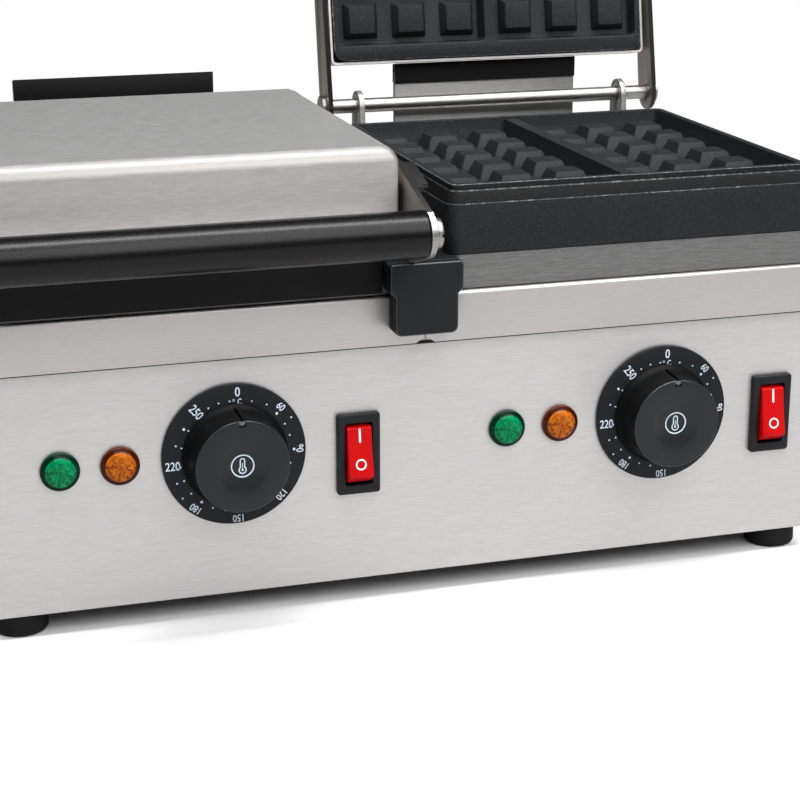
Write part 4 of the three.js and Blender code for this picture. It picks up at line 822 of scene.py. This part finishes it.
def makeBlock():
    c, front, back = block["soft"], capLow.y, capHigh.y
    steps = ((0.3, back), (0, back - 0.3), (0, front + c), (0.1 * c, front + 0.55 * c),
             (0.3 * c, front + 0.25 * c), (0.6 * c, front + 0.06 * c), (c, front))
    cap = loftBm([blockRing(i, y, (capLow, capHigh)) for i, y in steps])
    layers = [finishPiece(cap, "block_front", blackPlastic, "body", ["block_cap"],
                          smoothLimit=50.0),
              nodeCopy("block_base", "block_back", blackPlastic, "body", block["baseSoft"])]

    def blockFinish(normal, edgeFrom):
        # painted shade on the sides and a painted highlight round the front edges
        if abs(normal.x) > block["sideFrom"]:
            return 1
        return 2 if edgeFrom < normal.y < block["edgeTo"] else 0

    for layer, edgeFrom in zip(layers, (block["capEdgeFrom"], block["baseEdgeFrom"])):
        paintFaces(layer, [sideShadePlastic, edgeGlintPlastic], lambda middle, normal, e=edgeFrom: blockFinish(normal, e))


makeBlock()

# Controls: lamps, dials, knobs, switches

facing = Matrix(((1, 0, 0, 0), (0, 0, -1, 0), (0, 1, 0, 0), (0, 0, 0, 1)))  # drawn flat, seen from the front


def onPanel(node):
    # the place of a control's own middle on the panel's face
    middle = drawnMiddle(node)
    return shift(middle.x, 0, middle.z)


# The rim's steps are (in from the outer radius, out from the panel), and the seat's are (out from the lens,
# out from the panel).
lampShape = {"gap": 0.3, "inner": 6.64, "dome": 1.1, "domeFoot": 3.05, "body": 6.0, "front": -0.4,
             "deep": 22.0, "pin": 3.0, "pinHalf": 0.5, "pinStart": 21, "pinEnd": 27, "steps": 96,
             "arcSteps": 8, "rim": [(0.35, 0), (0, 0.3), (0, 1.1), (0.2, 1.6), (0.6, 1.9), (0.85, 1.95)],
             "seat": [(0.2, 2.9), (0, 3.05)]}


def makeLamp(side, which):
    node = "lamp_%s_%s" % (which, side)
    place = onPanel(node)
    low, high = drawnBox(node)
    outer, lens, back = (high.x - low.x) / 2, lampShape["inner"], lampShape["gap"]
    profile = [(0, back)]
    profile += [(outer - inset, back + rise) for inset, rise in lampShape["rim"]]
    profile += [(lens + out, back + rise) for out, rise in lampShape["seat"]]
    for i in range(1, lampShape["arcSteps"] + 1):
        turn = math.radians(90 * i / lampShape["arcSteps"])
        rise = lampShape["domeFoot"] + lampShape["dome"] * math.sin(turn)
        profile.append((lens * math.cos(turn), back + rise))
    profile[-1] = (0, profile[-1][1])
    bm = spinBm([(radius, -along) for radius, along in profile], lampShape["steps"])
    body, deep, front = lampShape["body"], lampShape["deep"], lampShape["front"]
    addTo(bm, spinBm([(0, deep), (body, deep), (body, front), (0, front)], 32))
    for pin in (-lampShape["pin"], lampShape["pin"]):
        addTo(bm, boxBm(pin - lampShape["pinHalf"], pin + lampShape["pinHalf"], lampShape["pinStart"],
                        lampShape["pinEnd"], -1, 1))
    centre = (toFrame @ place).to_translation()
    glass = lampGlass("lens_%s_%s" % (which, side), lampTones[which], centre)
    finishPiece(bm, "lamp_%s_lens_%s" % (which, side), glass, "body", [node], place, 50.0)


def textBm(words, size, squeeze, thick, bold):
    curve = bpy.data.curves.new("words", "FONT")
    curve.body = words
    curve.size = size
    curve.offset = bold
    curve.align_x = "CENTER"
    curve.align_y = "CENTER"
    curve.extrude = thick
    holder = newObject("words", curve)
    depsgraph = bpy.context.evaluated_depsgraph_get()
    bm = bmesh.new()
    bm.from_mesh(holder.evaluated_get(depsgraph).to_mesh())
    bpy.data.objects.remove(holder)
    bpy.data.curves.remove(curve)
    moveBm(bm, Matrix.Diagonal((squeeze, 1, 1, 1)))
    return bm


def discBm(radius, thick, steps=20):
    bm = bmesh.new()
    bmesh.ops.create_cone(bm, cap_ends=True, segments=steps, radius1=radius, radius2=radius, depth=2 * thick)
    return bm


def ringBm(outer, inner, thick, steps=48):
    profile = [(outer, -thick), (outer, thick), (inner, thick), (inner, -thick), (outer, -thick)]
    return spinBm(profile, steps, "Z")


# Words are (text, turn, share of the dial's radius, size, lean, boldness). Turns are clockwise from the top.
dialPrint = {
    "words": [("0", 3.8, 0.883, 6.3, 0.0, 0.10), ("C", 6.6, 0.752, 3.8, 0.0, 0.06),
              ("60", 46.3, 0.90, 5.0, 46.3, 0.05), ("90", 89.6, 0.905, 5.0, 89.6, 0.05),
              ("120", 134.7, 0.90, 5.0, 134.7, 0.05), ("150", 177.8, 0.915, 5.0, 177.8, 0.05),
              ("180", 217.7, 0.91, 5.0, 217.7, 0.05), ("220", 263.9, 0.86, 6.0, 0.0, 0.06),
              ("250", 321.4, 0.83, 6.0, 51.4, 0.06)],
    "degree": (0.2, 0.775, 0.62, 0.40),
    "big": [(48.2, 0.80), (90, 0.83), (134, 0.80), (176.2, 0.80), (216.9, 0.79), (262.1, 0.765),
            (301.9, 0.81)],
    "small": [(356.2, 0.765), (344.8, 0.775), (333.5, 0.775), (18.9, 0.781), (34.3, 0.814), (62, 0.80),
              (74.9, 0.80), (104, 0.80), (118, 0.80), (149.5, 0.80), (162.1, 0.80), (190.4, 0.80),
              (203.7, 0.80), (231.2, 0.79), (246.7, 0.77), (60, 0.92), (284, 0.83), (247.5, 0.87),
              (233, 0.92)],
    "ticks": [(282.7, 0.738), (302.6, 0.738)],
    "bigRadius": 0.66, "smallRadius": 0.42, "tickHalf": (0.25, 0.65), "thick": 0.03, "squeeze": 0.80,
}
dialShape = {"gap": 0.3, "edge": 0.7, "hole": 5.3, "heelIn": 0.2, "heelOut": 0.3}


def dialFront(side):
    return -drawnBox("dial_disc_" + side)[0].y


def makeDial(side):
    place = onPanel("dial_disc_" + side)
    low, high = drawnBox("dial_disc_" + side)
    r, back, edge, front = (high.x - low.x) / 2, dialShape["gap"], dialShape["edge"], dialFront(side)
    hole = dialShape["hole"]
    profile = [(hole, back), (r - dialShape["heelIn"], back), (r, back + dialShape["heelOut"]),
               (r, front - edge), (r - edge * 0.3, front - edge * 0.3), (r - edge, front), (hole, front),
               (hole, back)]
    finishPiece(spinBm([(a, -b) for a, b in profile], 128), "dial_" + side, dialPlastic, "body",
                ["dial_disc_" + side], place)
    marks = bmesh.new()
    thick = dialPrint["thick"]

    def around(turn, share):
        t = math.radians(turn)
        return shift(share * r * math.sin(t), share * r * math.cos(t), 0)

    for words, turn, share, size, lean, bold in dialPrint["words"]:
        addTo(marks, textBm(words, size, dialPrint["squeeze"], thick, bold),
              around(turn, share) @ Matrix.Rotation(-math.radians(lean), 4, "Z"))
    turn, share, outer, inner = dialPrint["degree"]
    addTo(marks, ringBm(outer, inner, thick, 24), around(turn, share))
    for group in ("big", "small"):
        for turn, share in dialPrint[group]:
            addTo(marks, discBm(dialPrint[group + "Radius"], thick), around(turn, share))
    for turn, share in dialPrint["ticks"]:
        wide, tall = dialPrint["tickHalf"]
        tick = boxBm(-wide, wide, -tall, tall, -thick, thick)
        addTo(marks, tick, around(turn, share) @ Matrix.Rotation(-math.radians(turn), 4, "Z"))
    finishPiece(marks, "dial_print_" + side, printPale, "body", (),
                place @ shift(0, -front, 0) @ facing)


# Skirt, wall and rim are steps (inwards, height): from the widest radius and the waist up from the base,
# and from the face's radius down from the face. The pointer's points are (across, down from the rim).
knob = {"waist": 23.2, "face": 22.4, "dish": 12.7, "dishDeep": 2.1, "notchWide": 3.4, "notchLong": 3.0,
        "notchDeep": 1.1, "hollow": 20.4, "hub": 7.0, "bore": 3.3, "gap": 0.3, "hubDeep": 12,
        "boreDeep": 11.3, "heel": 0.4, "recess": 0.2, "dishSteps": 12,
        "skirt": [(0.3, 0), (0, 0.3), (0, 1.0), (0.5, 1.8), (1.3, 2.6)],
        "wall": [(-0.3, 4.0), (0, 5.4), (0.2, 9)],
        "rim": [(-0.1, 0.9), (0.1, 0.35), (0.4, 0.08), (0.9, 0)],
        "grooveWide": 1.6, "grooveDeep": 0.7, "grooveFrom": 3.0,
        "pointer": [(-1.5, 0.5), (-1.5, 1.7), (-0.5, 1.9), (0, 2.7), (0.5, 1.9), (1.5, 1.7), (1.5, 0.5)],
        "pointerThick": 0.5, "pointerSink": 0.4, "wallFrom": -0.35, "wallOut": 0.3, "paleIn": 0.55,
        "paleFrom": -0.93}


def dishDepth(radius):
    # how far the shallow dish lies behind the knob's face at this radius
    if radius >= knob["dish"]:
        return 0
    part = 1 - radius / knob["dish"]
    return knob["dishDeep"] * math.sin(math.radians(90 * part)) ** 0.9


def makeKnob(side):
    place = onPanel("dial_disc_" + side)
    low, high = drawnBox("knob_" + side)
    base, face = dialFront(side) + knob["gap"], -low.y
    widest, top = (high.x - low.x) / 2, knob["face"]
    hollow, hub, bore = knob["hollow"], knob["hub"], knob["bore"]
    start, boreEnd, hubEnd = base + knob["recess"], base + knob["boreDeep"], base + knob["hubDeep"]
    profile = [(0, boreEnd), (bore, boreEnd), (bore, start), (hub, start), (hub, hubEnd), (hollow, hubEnd),
               (hollow, start), (hollow + knob["heel"], base)]
    profile += [(widest - inset, base + height) for inset, height in knob["skirt"]]
    profile += [(knob["waist"] - inset, base + height) for inset, height in knob["wall"]]
    profile += [(top - inset, face - height) for inset, height in knob["rim"]]
    for i in range(knob["dishSteps"] + 1):
        radius = knob["dish"] * (1 - i / knob["dishSteps"])
        profile.append((radius, face - dishDepth(radius)))
    bm = spinBm([(a, -b) for a, b in profile], 128)
    half, low = knob["notchWide"] / 2, top - knob["notchLong"]
    bm = cutOut(bm, boxBm(-half, half, -face - 1, -face + knob["notchDeep"], low, top + 2))
    half, low = knob["grooveWide"] / 2, top - knob["grooveDeep"]
    bm = cutOut(bm, boxBm(-half, half, -face - 1, -base - knob["grooveFrom"], low, top + 4))
    cap = finishPiece(bm, "knob_cap_" + side, knobPlastic, "dial_" + side, ["knob_" + side],
                      place, 32.0)

    def knobFinish(middle, normal):
        # painted shade on the side wall and foot, and a painted highlight round the face
        spot = place.inverted() @ middle
        out = math.hypot(spot.x, spot.z)
        if normal.y > knob["wallFrom"] or out > top + knob["wallOut"]:
            return 1
        return 2 if out > top - knob["paleIn"] and normal.y > knob["paleFrom"] else 0

    paintFaces(cap, [sideShadePlastic, edgeGlintPlastic], knobFinish)
    pointer = outlineBm([(across, top - down) for across, down in knob["pointer"]], knob["pointerThick"])
    finishPiece(pointer, "pointer_" + side, pointerGrey, "dial_" + side, (),
                place @ shift(0, -face + knob["pointerSink"], 0))
    makeSymbol(side, place, face)


thermometer = {"ring": 5.6, "stroke": 0.62, "thick": 0.03, "stem": 1.3, "bulb": 1.95, "wall": 0.55,
               "top": 2.55, "bottom": -2.0, "drop": 0.55, "lineHalf": 0.17, "lineLong": 3.4}


def makeSymbol(side, place, face):
    # a thermometer in a ring, each point laid on the dish
    t, ring = thermometer, thermometer["ring"]
    thick, top, bottom = t["thick"], t["top"], t["bottom"]
    symbol = bmesh.new()
    addTo(symbol, ringBm(ring, ring - t["stroke"], thick, 72))
    outlines = []
    for inset in (0, t["wall"]):
        thin, wide = t["stem"] - inset, t["bulb"] - inset
        lean = math.asin(thin / wide)
        turns = [math.radians(a) for a in range(0, 181, 20)]
        points = [(thin * math.cos(a), top + thin * math.sin(a)) for a in turns]
        turns = [math.pi / 2 + lean + (2 * math.pi - 2 * lean) * i / 24 for i in range(25)]
        points += [(wide * math.cos(a), bottom + wide * math.sin(a)) for a in turns]
        outlines.append(points)
    count = len(outlines[0])
    rings = [[symbol.verts.new((x, y, z)) for x, y in points] for z in (thick, -thick) for points in outlines]
    for i in range(count):
        j = (i + 1) % count
        for a, b in ((0, 1), (1, 3), (3, 2), (2, 0)):
            symbol.faces.new((rings[a][i], rings[a][j], rings[b][j], rings[b][i]))
    addTo(symbol, discBm(t["drop"], thick), shift(0, bottom, 0))
    addTo(symbol, boxBm(-t["lineHalf"], t["lineHalf"], bottom, bottom + t["lineLong"], -thick, thick))
    fixNormals(symbol)
    for vert in symbol.verts:
        vert.co.z -= dishDepth(vert.co.xy.length)
    finishPiece(symbol, "knob_symbol_" + side, printPale, "dial_" + side, (),
                place @ shift(0, -face, 0) @ facing)


switch = {"corner": 1.6, "bevel": 0.9, "gap": 0.3, "wellWide": 13.7, "wellTall": 31.4, "wellDeep": 9.0,
          "bodyWide": 17.4, "bodyTall": 36.6, "bodyDeep": 22.0, "blade": 3.15, "bladeStep": 10.15,
          "bladeHalf": 0.4, "bodyFrom": -0.5, "wellCorner": 0.8, "lip": 0.25}
rockerShape = {"faceHalf": 12.0, "half": 14.8, "chamfer": 6.2, "pivotY": 3.0, "faceOut": 9.1, "wide": 12.1,
               "tilt": 10.0, "dish": 0.35, "back": 3.5, "backHalf": 13.0, "soft": 0.4, "markThick": 0.03,
               "bar": (-0.5, 0.5, 4.95, 11.85, 0.3), "ring": (2.7, 1.95), "ringPlace": -5.75}


def makeSwitch(side):
    place = onPanel("switch_housing_" + side)
    low, high = drawnBox("switch_housing_" + side)
    w, h, front = (high.x - low.x) / 2, (high.z - low.z) / 2, low.y
    bm = outlineBm(roundedPoints(-w, w, -h, h, switch["corner"], 5), -switch["gap"] - front)
    moveBm(bm, shift(0, front, 0))

    def onFront(edge):
        return all(v.co.y < front + 0.01 for v in edge.verts)

    bevelSharp(bm, switch["bevel"], 3, 50.0, onFront)
    well = centredBox(switch["wellWide"], switch["wellTall"], front - 2, front + switch["wellDeep"])
    bevelSharp(well, switch["wellCorner"], 3, 50.0, lambda e: abs(e.verts[0].co.y - e.verts[1].co.y) > 1)
    body = centredBox(switch["bodyWide"], switch["bodyTall"], switch["bodyFrom"], switch["bodyDeep"])
    bm = cutOut(bm, well.copy())
    bevelSharp(bm, switch["lip"], 2, 60.0, onFront)
    addTo(bm, cutOut(body, well))
    for level in (-switch["bladeStep"], 0, switch["bladeStep"]):
        addTo(bm, boxBm(-switch["blade"], switch["blade"], switch["bodyDeep"] - 1, high.y,
                        level - switch["bladeHalf"], level + switch["bladeHalf"]))
    finishPiece(bm, "switch_frame_" + side, blackPlastic, "body", ["switch_housing_" + side],
                place)
    makeRocker(side, place)


def hollowDepth(height):
    # how far the rocker's face lies behind its ends at this height
    return rockerShape["dish"] * math.cos(math.pi / 2 * height / rockerShape["faceHalf"])


def makeRocker(side, place):
    s = rockerShape
    a, b, out, bend = s["faceHalf"], s["half"], s["faceOut"], s["faceOut"] - s["chamfer"]
    heights = [-a + 2 * a * i / 12 for i in range(13)]
    profile = [(-out + hollowDepth(height), height) for height in heights]
    profile += [(-bend, b), (s["back"], s["backHalf"]), (s["back"], -s["backHalf"]), (-bend, -b)]
    bm = outlineBm(profile, s["wide"], "YZ")
    moveBm(bm, shift(-s["wide"] / 2, 0, 0))
    bevelSharp(bm, s["soft"], 3, 25.0)
    tilt = place @ shift(0, s["pivotY"], 0) @ Matrix.Rotation(math.radians(-s["tilt"]), 4, "X")
    finishPiece(bm, "rocker_key_" + side, rockerRed, "switch_" + side, ["rocker_" + side], tilt)
    marks = bmesh.new()
    bar = outlineBm(roundedPoints(*s["bar"], 3), 2 * s["markThick"], "XY")
    moveBm(bar, shift(0, 0, -s["markThick"]))
    bmesh.ops.subdivide_edges(bar, edges=[e for e in bar.edges if e.calc_length() > 2], cuts=5)
    addTo(marks, bar)
    addTo(marks, ringBm(*s["ring"], s["markThick"]), shift(0, s["ringPlace"], 0))
    for vert in marks.verts:
        vert.co.z -= hollowDepth(vert.co.y)
    finishPiece(marks, "switch_marks_" + side, markWhite, "switch_" + side, (),
                tilt @ shift(0, -out, 0) @ facing)


for side in stations:
    makeLamp(side, "green")
    makeLamp(side, "orange")
    makeDial(side)
    makeKnob(side)
    makeSwitch(side)
print("controls made")

# Floor, light and camera

studio = {"floorSize": 16.0, "floorColor": (0.52, 0.52, 0.52), "floorSeen": (0.81, 0.81, 0.81), "world": 0.06,
          "lamps": [("top_box", (0.15, -0.24, 2.15), (0.15, -0.24, 0), 2.6, 0.42, 66.0),
                    ("front_box", (0.45, -1.50, 1.65), (0, -0.10, 0.12), 2.4, 1.6, 46.0)],
          "fadeFrom": 0.40, "fadeTo": 0.95}


def makeStudio():
    bm = bmesh.new()
    bmesh.ops.create_grid(bm, x_segments=1, y_segments=1, size=studio["floorSize"] / 2)
    floor = meshObject(bm, "floor")
    material, tree, shader = newMaterial("floor_white", studio["floorColor"], 0.8)
    seen = newNode(tree, "LightPath").outputs["Is Camera Ray"]
    floorTone = mixedColor(tree, seen, studio["floorColor"], studio["floorSeen"])
    tree.links.new(floorTone, shader.inputs["Base Color"])
    # far from the machine the camera sees plain white
    away = newNode(tree, "VectorMath", {0: ownCoords(tree)}, operation="LENGTH")
    fade = newNode(tree, "MapRange", {"From Min": studio["fadeFrom"], "From Max": studio["fadeTo"],
                                      "Value": away.outputs["Value"]}, interpolation_type="SMOOTHSTEP")
    both = newNode(tree, "Math", {0: fade.outputs["Result"], 1: seen}, operation="MULTIPLY")
    plainWhite = newNode(tree, "Emission")
    joined = newNode(tree, "MixShader", {"Fac": both.outputs["Value"], 1: shader.outputs["BSDF"],
                                         2: plainWhite.outputs["Emission"]})
    tree.links.new(joined.outputs["Shader"], tree.nodes["Material Output"].inputs["Surface"])
    floor.data.materials.append(material)
    world = bpy.data.worlds.new("studio")
    bpy.context.scene.world = world
    world.use_nodes = True
    tree = world.node_tree
    plain = tree.nodes["Background"]
    plain.inputs["Color"].default_value = (1, 1, 1, 1)
    plain.inputs["Strength"].default_value = studio["world"]
    white = newNode(tree, "Background", {"Color": (1, 1, 1, 1), "Strength": 1.0})
    path = newNode(tree, "LightPath")
    mix = newNode(tree, "MixShader", {"Fac": path.outputs["Is Camera Ray"], 1: plain.outputs["Background"],
                                      2: white.outputs["Background"]})
    tree.links.new(mix.outputs["Shader"], tree.nodes["World Output"].inputs["Surface"])
    for name, spot, target, wide, tall, power in studio["lamps"]:
        lamp = bpy.data.lights.new(name, "AREA")
        lamp.shape = "RECTANGLE"
        lamp.size, lamp.size_y, lamp.energy = wide, tall, power
        holder = newObject(name, lamp)
        holder.location = spot
        holder.rotation_euler = (Vector(target) - Vector(spot)).to_track_quat("-Z", "Y").to_euler()


camera = {"lens": 90.45, "x": -283.13, "y": -881.09, "z": 378.35, "right": (0.9558, -0.2940, 0.0),
          "up": (0.0879, 0.2858, 0.9542), "back": (-0.2806, -0.9120, 0.2990)}


def makeCamera():
    data = bpy.data.cameras.new("view")
    data.lens = camera["lens"]
    data.sensor_width = 36.0
    data.clip_start = 0.01
    holder = newObject("view", data)
    turn = Matrix((camera["right"], camera["up"], camera["back"])).transposed()
    spot = toFrame @ Vector((camera["x"], camera["y"], camera["z"]))
    holder.matrix_world = Matrix.Translation(spot) @ turn.normalized().to_4x4()
    bpy.context.scene.camera = holder


makeStudio()
makeCamera()
bpy.context.scene.view_settings.view_transform = "Standard"
print("studio and camera set")
